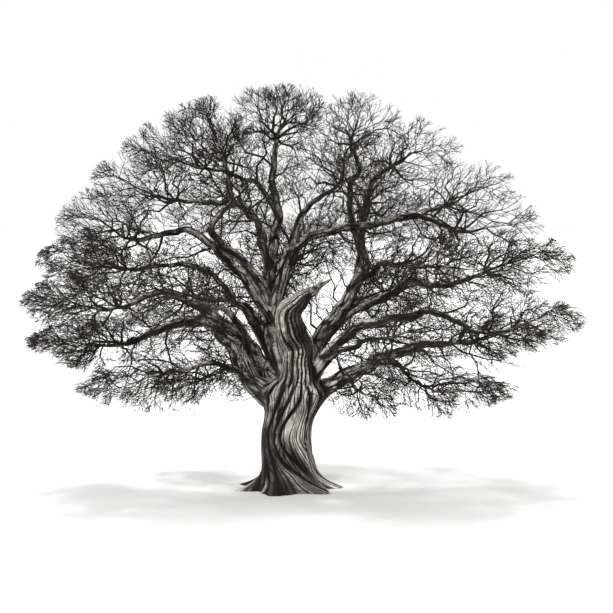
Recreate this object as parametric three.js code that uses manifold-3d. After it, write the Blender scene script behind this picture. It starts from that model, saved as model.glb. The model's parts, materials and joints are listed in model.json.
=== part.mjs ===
// A veteran, open-grown oak in winter, as an assembly of separate solids:
// a fluted trunk, a bare pointed stem, twenty-nine boughs and a mass of twigs at the end of each bough.
//
// Lengths are in millimetres. X runs to the right of the front view, Y away from the viewer and Z up.
// The origin is the centre of the flat cut under the trunk, at ground level.

import * as THREE from "three";
import { mergeVertices } from "three/addons/utils/BufferGeometryUtils.js";
import Module from "manifold-3d";

const wasm = await Module();
wasm.setup();

// Clearances: between a bough's tip and its stem, round a limb that cuts another, from a twig to a limb,
// and between the spaces of two masses, as a share of their reach
const GAP = 0.3;
const CUT_GROWTH = 0.4;
const TWIG_TO_LIMB = 40;
const SPACE_MARGIN = 0.05;

// Trunk
const FORK_HEIGHT = 4100;
const CROTCH_RISE = 800;
const WAIST_RADIUS = 1060;
const ROOT_SPREAD = 1180;
const ROOT_HEIGHT = 330;
const ROOT_COUNT = 7;
const ROOT_VALLEY = 0.5;
const BUTT_SWELL = 210;
const BUTT_SWELL_HEIGHT = 1000;
const FORK_SWELL = 470;
const FORK_SWELL_START = 2750;
const FORK_FLATTENING = 0.25;
const WAIST_HEIGHT = 2250;
const WAIST_LEAN = -150;
const FORK_SHIFT = 200;
const FLUTE_DEPTH = 0.035;
const FLUTE_TWIST = 1.1;
const TRUNK_SIDES = 24;
const TRUNK_RINGS = 11;
const TRUNK_RING_BUNCHING = 1.5;
const CROTCH_RINGS = 4;
const CROTCH_CLOSING = 0.96;

// Limbs
const SMOOTH_SAMPLES = 12;
const LIMB_STEP = 780;
const MIN_LIMB_STEPS = 5;
const SIDES_FOR_RADIUS = [[300, 10], [150, 7], [0, 5]];
const COLLAR_SWELL = 0.35;
const COLLAR_LENGTH = 1.6;
const LIMB_TAPER_POWER = 0.85;
const WANDER = 70;
const WANDER_WAVE = 2300;

// Stem of a mass
const STEM_STEPS = 3;
const STEM_BEYOND_CENTRE = 0.78;
const STEM_LIFT = 0.12;
const STEM_STRAIGHT_SHARE = 0.3;
const STEM_ELBOW_SHARE = 0.42;
const STEM_END_RADIUS = 12;

// Branches on a stem
const TWIG_SIDES = 3;
const BRANCH_COUNT = 8;
const BRANCH_REACH = 0.985;
const BRANCH_SLANT = 0.95;
const BRANCH_FIRST_SHARE = 0.1;
const BRANCH_FIRST_SPREAD = 0.06;
const BRANCH_LAST_SHARE = 0.97;
const BRANCH_THICKNESS = 0.6;
const BRANCH_MIN_RADIUS = 20;
const POLE_OFFSET = 0.2;

// Twigs lean outward, away from the middle of the crown
const CROWN_MIDDLE = [600, 0, 7000];
const TWIG_OUTWARD = 0.4;

// Twigs on a branch
const TWIG_COUNT = 2;
const TWIG_FIRST_SHARE = 0.34;
const TWIG_SPAN = 0.5;
const TWIG_LENGTH = 0.52;
const TWIG_LENGTH_FALL = 1.25;
const TWIG_TILT = 0.86;
const TWIG_RADIUS = 13;
const TWIG_THICKNESS = 0.5;
const VARIATION = 0.4;

// A twig is shortened by steps until it keeps to its space, and skipped when it would be too short
const SHORTENING = 0.1;
const SHORTEST_SHARE = 0.4;
const TESTED_SHARES = [0.35, 0.6, 0.8, 1];
const GOLDEN_ANGLE = 2.399963;

// Which draw of a seed is used for what
const WANDER_SEED = 0;
const MASS_SEED = 1;
const STEM_SEED = 99;
const SPIN_DRAW = 5;
const TURN_DRAW = 7;

// Finishes
const BARK = { color: 0x4b423a, roughness: 0.95, metalness: 0 };
const TWIG_BARK = { color: 0x3a322c, roughness: 0.9, metalness: 0 };

// Each bough leaves the trunk's axis at a height, its rise, or its parent at a share of the parent's length.
// It passes its elbows and ends at its tip, where its mass of twigs begins. A pointed mass grows flatter
// towards the outer side of the crown.
// The two radii are those past its collar and at its tip.
const BOUGHS = [
  { name: "left_leader", parent: "trunk", rise: 3400, radii: [430, 95],
    elbows: [[-600, 450, 6150], [-700, 450, 8100], [-850, 350, 9800], [-480, 400, 11700],
      [-720, 450, 13300]],
    tip: [-560, 600, 15000], mass: { centre: [-250, 600, 15800], reach: [2800, 2500, 1750] } },
  { name: "right_leader", parent: "trunk", rise: 3600, radii: [400, 85],
    elbows: [[650, 450, 5000], [1600, 600, 6850], [2600, 550, 8300], [3250, 400, 9500], [3130, 300, 10700],
      [3330, 200, 12300], [3550, 0, 13300]],
    tip: [4300, -400, 13950], mass: { centre: [5000, -800, 14300], reach: [2400, 2500, 1800] } },
  { name: "right_bottom", parent: "trunk", rise: 3400, radii: [400, 100],
    elbows: [[1700, 150, 4450], [3300, 500, 5250], [4900, 900, 5900], [6200, 1500, 6150]],
    tip: [7300, 2100, 6150],
    mass: { centre: [9000, 2700, 6350], reach: [2800, 2800, 1350], pointed: 0.6 } },
  { name: "right_low", parent: "trunk", rise: 3800, radii: [300, 90],
    elbows: [[1300, -350, 5350], [2350, -700, 6650], [3300, -850, 7250], [4800, -900, 7500],
      [6200, -1000, 7780]],
    tip: [8000, -1200, 6950],
    mass: { centre: [9900, -1400, 7400], reach: [2900, 2800, 1550], pointed: 0.4 } },
  { name: "left_long", parent: "trunk", rise: 3600, radii: [370, 85],
    elbows: [[-1150, 300, 5250], [-2100, 200, 6650], [-3300, -100, 7550], [-4400, -600, 8250],
      [-5500, -1100, 8650]],
    tip: [-6900, -1600, 8100],
    mass: { centre: [-8600, -2000, 8200], reach: [2900, 2800, 1600], pointed: 0.3 } },
  { name: "left_main", parent: "trunk", rise: 3400, radii: [460, 95],
    elbows: [[-1400, -300, 4450], [-2150, -550, 5650], [-2800, -600, 6800], [-4000, -350, 7380],
      [-5600, 150, 6950]],
    tip: [-7000, 500, 6300],
    mass: { centre: [-8800, 700, 6300], reach: [2900, 2800, 1400], pointed: 0.6 } },
  { name: "left_arch", parent: "left_leader", share: 0.31, radii: [270, 90],
    elbows: [[-1400, -200, 8450], [-2350, -700, 9700], [-3400, -1200, 10750], [-4400, -1600, 11300]],
    tip: [-6200, -2400, 10950], mass: { centre: [-7300, -2800, 11400], reach: [2600, 2700, 1800] } },
  { name: "left_hook", parent: "left_leader", share: 0.36, radii: [260, 75],
    elbows: [[-1450, -350, 9350], [-2350, -600, 10250], [-3150, -700, 10950], [-3250, -650, 11800],
      [-2500, -500, 12400]],
    tip: [-2700, -200, 13950], mass: { centre: [-3200, 300, 15100], reach: [2500, 2500, 1850] } },
  { name: "left_mid", parent: "left_leader", share: 0.16, radii: [170, 80],
    elbows: [[-1750, 700, 7350], [-2750, 1150, 8550], [-3600, 1600, 9350], [-4900, 2100, 9700]],
    tip: [-6900, 2500, 9450],
    mass: { centre: [-8700, 2700, 9750], reach: [2800, 2700, 1750], pointed: 0.3 } },
  { name: "left_upper", parent: "left_leader", share: 0.5, radii: [170, 85],
    elbows: [[-1200, 550, 10700], [-1450, 650, 11800], [-2300, 850, 12400]],
    tip: [-4600, 1600, 12500], mass: { centre: [-6400, 2000, 13000], reach: [2600, 2600, 1850] } },
  { name: "left_high", parent: "left_leader", share: 0.75, radii: [120, 65],
    elbows: [[-1150, 0, 13050], [-2100, -750, 13600]],
    tip: [-3300, -1700, 13900], mass: { centre: [-4600, -2200, 14150], reach: [2500, 2600, 1800] } },
  { name: "left_low", parent: "left_main", share: 0.16, radii: [140, 75],
    elbows: [[-2500, -1100, 5400], [-3400, -1600, 5600]],
    tip: [-4900, -2300, 5350],
    mass: { centre: [-6500, -2900, 4850], reach: [2700, 2500, 1250], pointed: 1 } },
  { name: "left_hang", parent: "left_main", share: 0.12, radii: [130, 60],
    elbows: [[-2200, 1000, 4950], [-2900, 2000, 4950]],
    tip: [-3500, 2700, 4650], mass: { centre: [-4500, 3900, 4300], reach: [2500, 2500, 1200] } },
  { name: "right_arch", parent: "left_leader", share: 0.33, radii: [260, 85],
    elbows: [[-300, -500, 9400], [300, -650, 10600], [1500, -700, 11200], [3000, -800, 11450],
      [4400, -1000, 11700], [5400, -1250, 11950]],
    tip: [6700, -1800, 11450], mass: { centre: [8150, -2400, 11400], reach: [2800, 2600, 1700] } },
  { name: "leader_right", parent: "right_arch", share: 0.34, radii: [170, 75],
    elbows: [[350, -850, 11600], [1000, -1300, 12450]],
    tip: [1900, -2300, 13050], mass: { centre: [2100, -3900, 13600], reach: [2600, 2600, 1900] } },
  { name: "right_arch_upper", parent: "right_arch", share: 0.8, radii: [120, 70],
    elbows: [[5700, -300, 11950]],
    tip: [6600, 600, 12250], mass: { centre: [7800, 1700, 12650], reach: [2600, 2600, 1750] } },
  { name: "right_fork", parent: "right_leader", share: 0.68, radii: [170, 75],
    elbows: [[2650, 250, 12000], [2650, 150, 13000], [3050, 50, 13900]],
    tip: [2800, 0, 14750], mass: { centre: [2600, 400, 15400], reach: [2600, 2500, 1750] } },
  { name: "right_main", parent: "right_leader", share: 0.3, radii: [260, 85],
    elbows: [[2900, 800, 7800], [4100, 950, 8200], [5400, 1150, 9000], [6800, 1400, 8750]],
    tip: [8300, 1600, 9200],
    mass: { centre: [10100, 1800, 9750], reach: [2750, 2600, 1650], pointed: 0.3 } },
  { name: "right_mid", parent: "right_leader", share: 0.5, radii: [150, 65],
    elbows: [[4000, -1200, 9850], [4900, -2500, 9850]],
    tip: [5900, -3700, 9850], mass: { centre: [7000, -4900, 9750], reach: [2600, 2600, 1800] } },
  { name: "right_droop", parent: "right_bottom", share: 0.55, radii: [130, 65],
    elbows: [[4750, -500, 5400]],
    tip: [5400, -1700, 4850],
    mass: { centre: [7050, -3000, 4650], reach: [2700, 2600, 1250], pointed: 1 } },
  { name: "right_hang", parent: "right_bottom", share: 0.33, radii: [120, 55],
    elbows: [[2650, -900, 4800]],
    tip: [2850, -2000, 4600], mass: { centre: [3350, -3500, 4450], reach: [1800, 2200, 1100] } },
  { name: "front_left", parent: "left_long", share: 0.32, radii: [170, 80],
    elbows: [[-2200, -1700, 7450], [-3000, -3200, 8150]],
    tip: [-3900, -4600, 8450], mass: { centre: [-4900, -6100, 8800], reach: [2900, 2900, 2000] } },
  { name: "front_right", parent: "right_low", share: 0.24, radii: [150, 75],
    elbows: [[2400, -2000, 6250], [3300, -3300, 6750]],
    tip: [3900, -4600, 6950], mass: { centre: [4700, -6100, 7200], reach: [2800, 2900, 1800] } },
  { name: "front_high", parent: "left_leader", share: 0.53, radii: [140, 70],
    elbows: [[-1300, -1300, 11450], [-1600, -2600, 11850]],
    tip: [-1700, -3800, 12050], mass: { centre: [-1800, -5400, 12400], reach: [2800, 2700, 2000] } },
  { name: "back_left", parent: "left_leader", share: 0.2, radii: [220, 85],
    elbows: [[-1700, 2200, 7550], [-2800, 3500, 7950]],
    tip: [-4000, 4900, 7950], mass: { centre: [-5400, 6300, 8100], reach: [3000, 2900, 2000] } },
  { name: "back_right", parent: "right_leader", share: 0.24, radii: [210, 85],
    elbows: [[2300, 2200, 7550], [3200, 3500, 8050]],
    tip: [4200, 4900, 8150], mass: { centre: [5500, 6300, 8300], reach: [3000, 2900, 2000] } },
  { name: "back_mid", parent: "left_leader", share: 0.26, radii: [200, 85],
    elbows: [[-300, 2300, 8550], [0, 4200, 9150]],
    tip: [100, 5900, 9450], mass: { centre: [200, 7600, 9850], reach: [3000, 2900, 2100] } },
  { name: "back_high_left", parent: "left_leader", share: 0.5, radii: [140, 75],
    elbows: [[-1300, 1700, 11450], [-1900, 2900, 12050]],
    tip: [-2500, 3900, 12450], mass: { centre: [-3300, 5100, 12800], reach: [2900, 2800, 2000] } },
  { name: "back_high_right", parent: "right_leader", share: 0.53, radii: [140, 75],
    elbows: [[3150, 1700, 11250], [3250, 2800, 11850]],
    tip: [3500, 3800, 12250], mass: { centre: [4100, 5100, 12700], reach: [2900, 2800, 2000] } },
];

// The bare stem that twists up from the fork in front of the leaders and ends in a point.
const FRONT_STEM = {
  name: "front_stem", parent: "trunk", rise: 3300, radii: [840, 30],
  elbows: [[380, -450, 4950], [400, -500, 6050], [120, -600, 6950], [50, -700, 7600], [400, -750, 8250],
    [1000, -800, 8650]],
  tip: [1850, -800, 9200],
};

// Seeded draws

function scramble(seed) {
  let bits = seed >>> 0;
  bits = Math.imul(bits ^ (bits >>> 16), 0x7feb352d) >>> 0;
  bits = Math.imul(bits ^ (bits >>> 15), 0x846ca68b) >>> 0;
  return (bits ^ (bits >>> 16)) >>> 0;
}

function draw(seed, which) {
  return scramble(seed + Math.imul(which + 1, 0x9e3779b9)) / 4294967296;
}

// A factor close to one.
function varied(seed, which) {
  return 1 + VARIATION * (draw(seed, which) - 0.5);
}

function childSeed(seed, index) {
  return scramble(Math.imul(seed, 31) + index + 1);
}

// Small helpers

const point = (place) => new THREE.Vector3(...place);
const clamp = THREE.MathUtils.clamp;
const mix = THREE.MathUtils.lerp;
const smooth = (value, low, high) => THREE.MathUtils.smoothstep(value, low, high);

function lastOf(list) {
  return list[list.length - 1];
}

function pathLength(points) {
  let length = 0;
  for (let i = 1; i < points.length; i += 1) {
    length += points[i].distanceTo(points[i - 1]);
  }
  return length;
}

// The place at a share of a path whose points are evenly spread in share.
function alongPath(points, share) {
  const place = clamp(share, 0, 1) * (points.length - 1);
  const index = Math.min(Math.floor(place), points.length - 2);
  return points[index].clone().lerp(points[index + 1], place - index);
}

function headingAt(points, share) {
  const place = clamp(share, 0, 1) * (points.length - 1);
  const index = Math.min(Math.floor(place), points.length - 2);
  return points[index + 1].clone().sub(points[index]).normalize();
}

// Closed tubes: a cylinder's vertices are laid along a path, ring by ring

function turnedFrames(points, firstHeading) {
  const headings = points.map((place, i) => {
    const before = points[Math.max(i - 1, 0)];
    const after = points[Math.min(i + 1, points.length - 1)];
    return after.clone().sub(before).normalize();
  });
  if (firstHeading) {
    headings[0] = firstHeading;
  }
  const start = Math.abs(headings[0].x) < 0.9 ? new THREE.Vector3(1, 0, 0) : new THREE.Vector3(0, 1, 0);
  let across = start.addScaledVector(headings[0], -start.dot(headings[0])).normalize();
  return headings.map((heading, i) => {
    if (i > 0) {
      const turn = new THREE.Quaternion().setFromUnitVectors(headings[i - 1], heading);
      across = across.clone().applyQuaternion(turn);
    }
    return { heading, across, aside: heading.clone().cross(across) };
  });
}

function uprightFrames(points) {
  return points.map(() => ({
    heading: new THREE.Vector3(0, 0, 1),
    across: new THREE.Vector3(1, 0, 0),
    aside: new THREE.Vector3(0, 1, 0),
  }));
}

function closedTube({ points, radiusAt, frames = turnedFrames(points) }, sides, growth = 0) {
  const steps = points.length - 1;
  const pointed = radiusAt(1, 0) === 0;
  const geometry = new THREE.CylinderGeometry(pointed ? 0 : 1, 1, 1, sides, steps);
  const position = geometry.attributes.position;
  for (let i = 0; i < position.count; i += 1) {
    const share = position.getY(i) + 0.5;
    const ring = Math.round(share * steps);
    const x = position.getX(i);
    const z = position.getZ(i);
    const onAxis = Math.hypot(x, z) < 1e-6;
    const angle = Math.atan2(-z, x);
    const radius = onAxis ? 0 : radiusAt(ring / steps, angle) + growth;
    const { heading, across, aside } = frames[ring];
    const place = points[ring].clone();
    place.addScaledVector(across, radius * Math.cos(angle));
    place.addScaledVector(aside, radius * Math.sin(angle));
    if (ring === 0) {
      place.addScaledVector(heading, -growth);
    }
    if (ring === steps) {
      place.addScaledVector(heading, growth);
    }
    position.setXYZ(i, place.x, place.y, place.z);
  }
  return geometry;
}

// Solids and meshes

function solidOf(geometry) {
  geometry.deleteAttribute("normal");
  geometry.deleteAttribute("uv");
  const merged = mergeVertices(geometry);
  return new wasm.Manifold(new wasm.Mesh({
    numProp: 3,
    vertProperties: Float32Array.from(merged.attributes.position.array),
    triVerts: Uint32Array.from(merged.index.array),
  }));
}

function largestPiece(solid) {
  const pieces = solid.decompose();
  return pieces.reduce((best, piece) => (piece.volume() > best.volume() ? piece : best));
}

function meshOf(name, solid, finish) {
  const { vertProperties, triVerts } = solid.getMesh();
  const geometry = new THREE.BufferGeometry();
  geometry.setAttribute("position", new THREE.BufferAttribute(vertProperties, 3));
  geometry.setIndex(new THREE.BufferAttribute(triVerts, 1));
  geometry.computeVertexNormals();
  const mesh = new THREE.Mesh(geometry, new THREE.MeshStandardMaterial(finish));
  mesh.name = name;
  return mesh;
}

// Trunk: a flat cut at the ground, a root flare in lobes, a waist, a swelling fork and a domed crotch

function trunkHeights() {
  const heights = [];
  for (let i = 0; i <= TRUNK_RINGS; i += 1) {
    heights.push(FORK_HEIGHT * (i / TRUNK_RINGS) ** TRUNK_RING_BUNCHING);
  }
  for (let i = 1; i <= CROTCH_RINGS; i += 1) {
    heights.push(FORK_HEIGHT + CROTCH_RISE * Math.sin(0.5 * Math.PI * i / CROTCH_RINGS));
  }
  return heights;
}

function trunkAxis(height) {
  const lean = WAIST_LEAN * smooth(height, 0, WAIST_HEIGHT);
  const shift = (FORK_SHIFT - WAIST_LEAN) * smooth(height, WAIST_HEIGHT, FORK_HEIGHT);
  return new THREE.Vector3(lean + shift, 0, height);
}

function trunkRadius(height, angle) {
  const ridge = 0.5 + 0.5 * Math.cos(ROOT_COUNT * angle + Math.sin(2 * angle));
  const lobe = mix(ROOT_VALLEY, 1, ridge);
  const roots = ROOT_SPREAD * Math.exp(-height / ROOT_HEIGHT) * lobe;
  const butt = BUTT_SWELL * Math.exp(-height / BUTT_SWELL_HEIGHT);
  const forkShare = clamp((height - FORK_SWELL_START) / (FORK_HEIGHT - FORK_SWELL_START), 0, 1);
  const fork = FORK_SWELL * forkShare ** 2 * (1 - FORK_FLATTENING + FORK_FLATTENING * Math.cos(2 * angle));
  const flute = 1 + FLUTE_DEPTH * Math.cos(ROOT_COUNT * angle - FLUTE_TWIST * height / WAIST_HEIGHT);
  const crotchShare = clamp((height - FORK_HEIGHT) / CROTCH_RISE, 0, 1);
  const crotch = Math.sqrt(1 - CROTCH_CLOSING * crotchShare ** 2);
  return ((WAIST_RADIUS + butt + fork) * flute + roots) * crotch;
}

function makeTrunk() {
  const heights = trunkHeights();
  const radiusAt = (share, angle) => trunkRadius(heights[Math.round(share * (heights.length - 1))], angle);
  const points = heights.map(trunkAxis);
  return { name: "trunk", points, frames: uprightFrames(points), radiusAt, sides: TRUNK_SIDES, index: 0 };
}

// Limbs: a smooth path through a few elbows, with a slight seeded wander, a collar and a taper

function smoothPath(places) {
  const padded = [
    places[0].clone().multiplyScalar(2).sub(places[1]),
    ...places,
    lastOf(places).clone().multiplyScalar(2).sub(places[places.length - 2]),
  ];
  const points = [];
  for (let i = 1; i < padded.length - 2; i += 1) {
    for (let k = 0; k < SMOOTH_SAMPLES; k += 1) {
      const t = k / SMOOTH_SAMPLES;
      const [a, b, c, d] = [padded[i - 1], padded[i], padded[i + 1], padded[i + 2]];
      const linear = c.clone().sub(a);
      const square = a.clone().multiplyScalar(2).addScaledVector(b, -5).addScaledVector(c, 4).sub(d);
      const cube = d.clone().sub(a).addScaledVector(b, 3).addScaledVector(c, -3);
      const place = b.clone().multiplyScalar(2).addScaledVector(linear, t);
      place.addScaledVector(square, t * t).addScaledVector(cube, t * t * t);
      points.push(place.multiplyScalar(0.5));
    }
  }
  points.push(lastOf(places).clone());
  return points;
}

function evenPath(points, steps) {
  const total = pathLength(points);
  const even = [points[0].clone()];
  let travelled = 0;
  let wanted = total / steps;
  for (let i = 1; i < points.length; i += 1) {
    const length = points[i].distanceTo(points[i - 1]);
    while (wanted <= travelled + length && even.length < steps) {
      even.push(points[i - 1].clone().lerp(points[i], (wanted - travelled) / length));
      wanted += total / steps;
    }
    travelled += length;
  }
  even.push(lastOf(points).clone());
  return even;
}

function wander(points, seed) {
  const length = pathLength(points);
  const waves = length / WANDER_WAVE;
  return points.map((place, i) => {
    const share = i / (points.length - 1);
    const size = WANDER * Math.sin(Math.PI * share);
    const shift = [0, 1, 2].map((axis) => {
      const phase = 2 * Math.PI * draw(seed, axis);
      return size * Math.sin(2 * Math.PI * waves * share * (1 + 0.17 * axis) + phase);
    });
    return place.clone().add(point(shift));
  });
}

function makeLimb(sizes, index, parent) {
  const from = sizes.rise ? trunkAxis(sizes.rise) : alongPath(parent.points, sizes.share);
  const curve = smoothPath([from, ...sizes.elbows.map(point), point(sizes.tip)]);
  const length = pathLength(curve);
  const steps = Math.max(Math.round(length / LIMB_STEP), MIN_LIMB_STEPS);
  const points = wander(evenPath(curve, steps), childSeed(index, WANDER_SEED));
  const [thick, thin] = sizes.radii;
  const radiusAt = (share) => {
    const collar = 1 + COLLAR_SWELL * Math.exp(-share * length / (COLLAR_LENGTH * thick));
    return (thin + (thick - thin) * (1 - share) ** LIMB_TAPER_POWER) * collar;
  };
  const sides = SIDES_FOR_RADIUS.find(([least]) => thick >= least)[1];
  return { name: sizes.name, index, parent, points, radiusAt, sides, mass: sizes.mass };
}

function limbSolid(limb, growth = 0) {
  return solidOf(closedTube(limb, limb.sides, growth));
}

function boxesMeet(a, b) {
  const first = a.boundingBox();
  const second = b.boundingBox();
  return [0, 1, 2].every((k) => first.min[k] <= second.max[k] && second.min[k] <= first.max[k]);
}

// Each limb is cut by every limb before it, so that neighbours at a fork stay clear of each other.
function cutLimbs(limbs) {
  const grown = [];
  return limbs.map((limb) => {
    let solid = limbSolid(limb);
    for (const other of grown) {
      if (boxesMeet(solid, other)) {
        solid = largestPiece(solid.subtract(other));
      }
    }
    grown.push(limbSolid(limb, CUT_GROWTH));
    return solid;
  });
}

// The space of a mass: its own ellipsoid, pointed or not, as far as that is nearer in proportion than
// any other's

function makeMasses(limbs) {
  return limbs.filter((limb) => limb.mass).map((limb) => ({
    name: `${limb.name}_twigs`,
    limb,
    centre: point(limb.mass.centre),
    reach: point(limb.mass.reach),
    pointed: limb.mass.pointed ?? 0,
    seed: childSeed(limb.index, MASS_SEED),
  }));
}

// How much flatter a pointed mass is at an offset from its centre, told as shares of its reach
function flattening(mass, offset) {
  return 1 + mass.pointed * Math.max(offset.x * Math.sign(mass.centre.x), 0);
}

function depthIn(mass, place) {
  const offset = place.clone().sub(mass.centre).divide(mass.reach);
  offset.z *= flattening(mass, offset);
  return offset.length();
}

function inSpace(mass, place, masses) {
  const own = depthIn(mass, place);
  return own <= 1 && masses.every((other) => other === mass || depthIn(other, place) > own + SPACE_MARGIN);
}

// Nearest distance between two straight stretches

function stretchGap(a, b, c, d) {
  const u = b.clone().sub(a);
  const v = d.clone().sub(c);
  const w = a.clone().sub(c);
  const uu = u.dot(u);
  const uv = u.dot(v);
  const vv = v.dot(v);
  const spread = uu * vv - uv * uv;
  let s = spread < 1e-9 ? 0 : clamp((uv * v.dot(w) - vv * u.dot(w)) / spread, 0, 1);
  const t = clamp((uv * s + v.dot(w)) / vv, 0, 1);
  s = clamp((uv * t - u.dot(w)) / uu, 0, 1);
  return a.clone().addScaledVector(u, s).distanceTo(c.clone().addScaledVector(v, t));
}

// Stretches of limb or stem that a mass's twigs keep clear of
function stretchesOf(points, radiusAt) {
  const stretches = [];
  for (let i = 1; i < points.length; i += 1) {
    stretches.push({ a: points[i - 1], b: points[i], radius: radiusAt((i - 1) / (points.length - 1), 0) });
  }
  return stretches;
}

function clearOf(stretches, a, b, radius) {
  const margin = radius + TWIG_TO_LIMB;
  return stretches.every((other) => stretchGap(a, b, other.a, other.b) > other.radius + margin);
}

// Stem: it goes on from its bough's tip, past the middle of the mass, and lifts a little

function makeStem(mass) {
  const boughTip = lastOf(mass.limb.points);
  const heading = headingAt(mass.limb.points, 1);
  const start = boughTip.clone().addScaledVector(heading, GAP);
  const end = mass.centre.clone().addScaledVector(mass.centre.clone().sub(boughTip), STEM_BEYOND_CENTRE);
  end.z += STEM_LIFT * mass.reach.z;
  const straightOn = start.clone().addScaledVector(heading, start.distanceTo(end) * STEM_STRAIGHT_SHARE);
  const elbow = straightOn.lerp(start.clone().lerp(end, STEM_ELBOW_SHARE), 0.5);
  const curve = evenPath(smoothPath([start, elbow, end]), STEM_STEPS);
  const points = wander(curve, childSeed(mass.seed, STEM_SEED));
  const thick = mass.limb.radiusAt(1);
  const radiusAt = (share) => mix(thick, STEM_END_RADIUS, share ** LIMB_TAPER_POWER);
  return { points, radiusAt, frames: turnedFrames(points, heading) };
}

// Where the straight way from one place to another first leaves the space or meets a limb, it is cut short.
function trimmed(mass, from, to, radius, masses, stretches) {
  for (let share = 1; share >= SHORTEST_SHARE; share -= SHORTENING) {
    const end = from.clone().lerp(to, share);
    const samples = TESTED_SHARES.map((part) => from.clone().lerp(end, part));
    if (samples.every((place) => inSpace(mass, place, masses)) && clearOf(stretches, from, end, radius)) {
      return end;
    }
  }
  return null;
}

// Branches: they leave the stem for places spread evenly over the outside of the mass

function makeBranches(mass, masses, stretches) {
  const { stem } = mass;
  const start = stem.points[0];
  const axis = lastOf(stem.points).clone().sub(start);
  const length = axis.length();
  axis.normalize();
  const spin = 2 * Math.PI * draw(mass.seed, SPIN_DRAW);
  const branches = [];
  for (let i = 0; i < BRANCH_COUNT; i += 1) {
    const seed = childSeed(mass.seed, i);
    const rise = 1 - 2 * (i + POLE_OFFSET) / (BRANCH_COUNT - 1 + 2 * POLE_OFFSET);
    const turn = spin + GOLDEN_ANGLE * i;
    const ring = Math.sqrt(1 - rise * rise);
    const towards = new THREE.Vector3(ring * Math.cos(turn), ring * Math.sin(turn), rise);
    towards.z /= flattening(mass, towards);
    const target = mass.centre.clone().addScaledVector(towards.multiply(mass.reach), BRANCH_REACH);
    const ahead = target.clone().sub(start).dot(axis);
    const aside = Math.sqrt(Math.max(target.clone().sub(start).lengthSq() - ahead * ahead, 0));
    const first = BRANCH_FIRST_SHARE + BRANCH_FIRST_SPREAD * draw(seed, 0);
    const share = clamp((ahead - BRANCH_SLANT * aside) / length, first, BRANCH_LAST_SHARE);
    const from = alongPath(stem.points, share);
    const stemRadius = stem.radiusAt(share);
    const thick = Math.max(BRANCH_THICKNESS * stemRadius, Math.min(BRANCH_MIN_RADIUS, stemRadius));
    const end = trimmed(mass, from, target, thick, masses, stretches);
    if (end) {
      branches.push({ points: [from, end], radiusAt: (part) => thick * (1 - part), seed });
    }
  }
  return branches;
}

// Twigs: they leave a branch on alternate sides, at a tilt

function makeTwigs(mass, branch, masses, stretches) {
  const twigs = [];
  const length = pathLength(branch.points);
  for (let j = 0; j < TWIG_COUNT; j += 1) {
    const seed = childSeed(branch.seed, j);
    const share = TWIG_FIRST_SHARE + TWIG_SPAN * (j + draw(seed, 0)) / TWIG_COUNT;
    const from = alongPath(branch.points, share);
    const heading = headingAt(branch.points, share);
    const up = Math.abs(heading.z) < 0.9 ? new THREE.Vector3(0, 0, 1) : new THREE.Vector3(1, 0, 0);
    const across = heading.clone().cross(up).normalize();
    const aside = heading.clone().cross(across);
    const turn = GOLDEN_ANGLE * j + 2 * Math.PI * draw(branch.seed, TURN_DRAW);
    const tilt = TWIG_TILT * varied(seed, 1);
    const way = heading.multiplyScalar(Math.cos(tilt));
    way.addScaledVector(across, Math.sin(tilt) * Math.cos(turn));
    way.addScaledVector(aside, Math.sin(tilt) * Math.sin(turn));
    way.addScaledVector(from.clone().sub(point(CROWN_MIDDLE)).normalize(), TWIG_OUTWARD).normalize();
    const reach = length * TWIG_LENGTH * (TWIG_LENGTH_FALL - share) * varied(seed, 2);
    const thick = Math.min(TWIG_RADIUS, TWIG_THICKNESS * branch.radiusAt(share));
    const end = trimmed(mass, from, from.clone().addScaledVector(way, reach), thick, masses, stretches);
    if (end) {
      twigs.push({ points: [from, end], radiusAt: (part) => thick * (1 - part) });
    }
  }
  return twigs;
}

function massSolid(mass, masses, stretches) {
  const branches = makeBranches(mass, masses, stretches);
  const twigs = branches.flatMap((branch) => makeTwigs(mass, branch, masses, stretches));
  const pieces = [...branches, ...twigs].map((twig) => solidOf(closedTube(twig, TWIG_SIDES)));
  pieces.push(solidOf(closedTube(mass.stem, TWIG_SIDES)));
  return largestPiece(wasm.Manifold.union(pieces));
}

// The whole tree

function makeLimbs() {
  const limbs = [makeTrunk()];
  for (const sizes of [FRONT_STEM, ...BOUGHS]) {
    const parent = limbs.find((limb) => limb.name === sizes.parent);
    limbs.push(makeLimb(sizes, limbs.length, parent));
  }
  return limbs;
}

function makeTree() {
  const tree = new THREE.Group();
  const limbs = makeLimbs();
  cutLimbs(limbs).forEach((solid, i) => tree.add(meshOf(limbs[i].name, solid, BARK)));
  const masses = makeMasses(limbs);
  for (const mass of masses) {
    mass.stem = makeStem(mass);
  }
  for (const mass of masses) {
    const others = masses.filter((other) => other !== mass);
    const stretches = [
      ...limbs.flatMap((limb) => stretchesOf(limb.points, limb.radiusAt)),
      ...others.flatMap((other) => stretchesOf(other.stem.points, other.stem.radiusAt)),
    ];
    tree.add(meshOf(mass.name, massSolid(mass, masses, stretches), TWIG_BARK));
  }
  return tree;
}

export default makeTree();
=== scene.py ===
"""A veteran, open-grown oak in winter: its bark, boughs and twigs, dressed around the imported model.

Lengths are in metres, in the model's own frame: X to the right of the drawing, Y away from it, Z up,
with the origin at the centre of the flat cut under the trunk.
"""
import itertools
import json
import math

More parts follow.
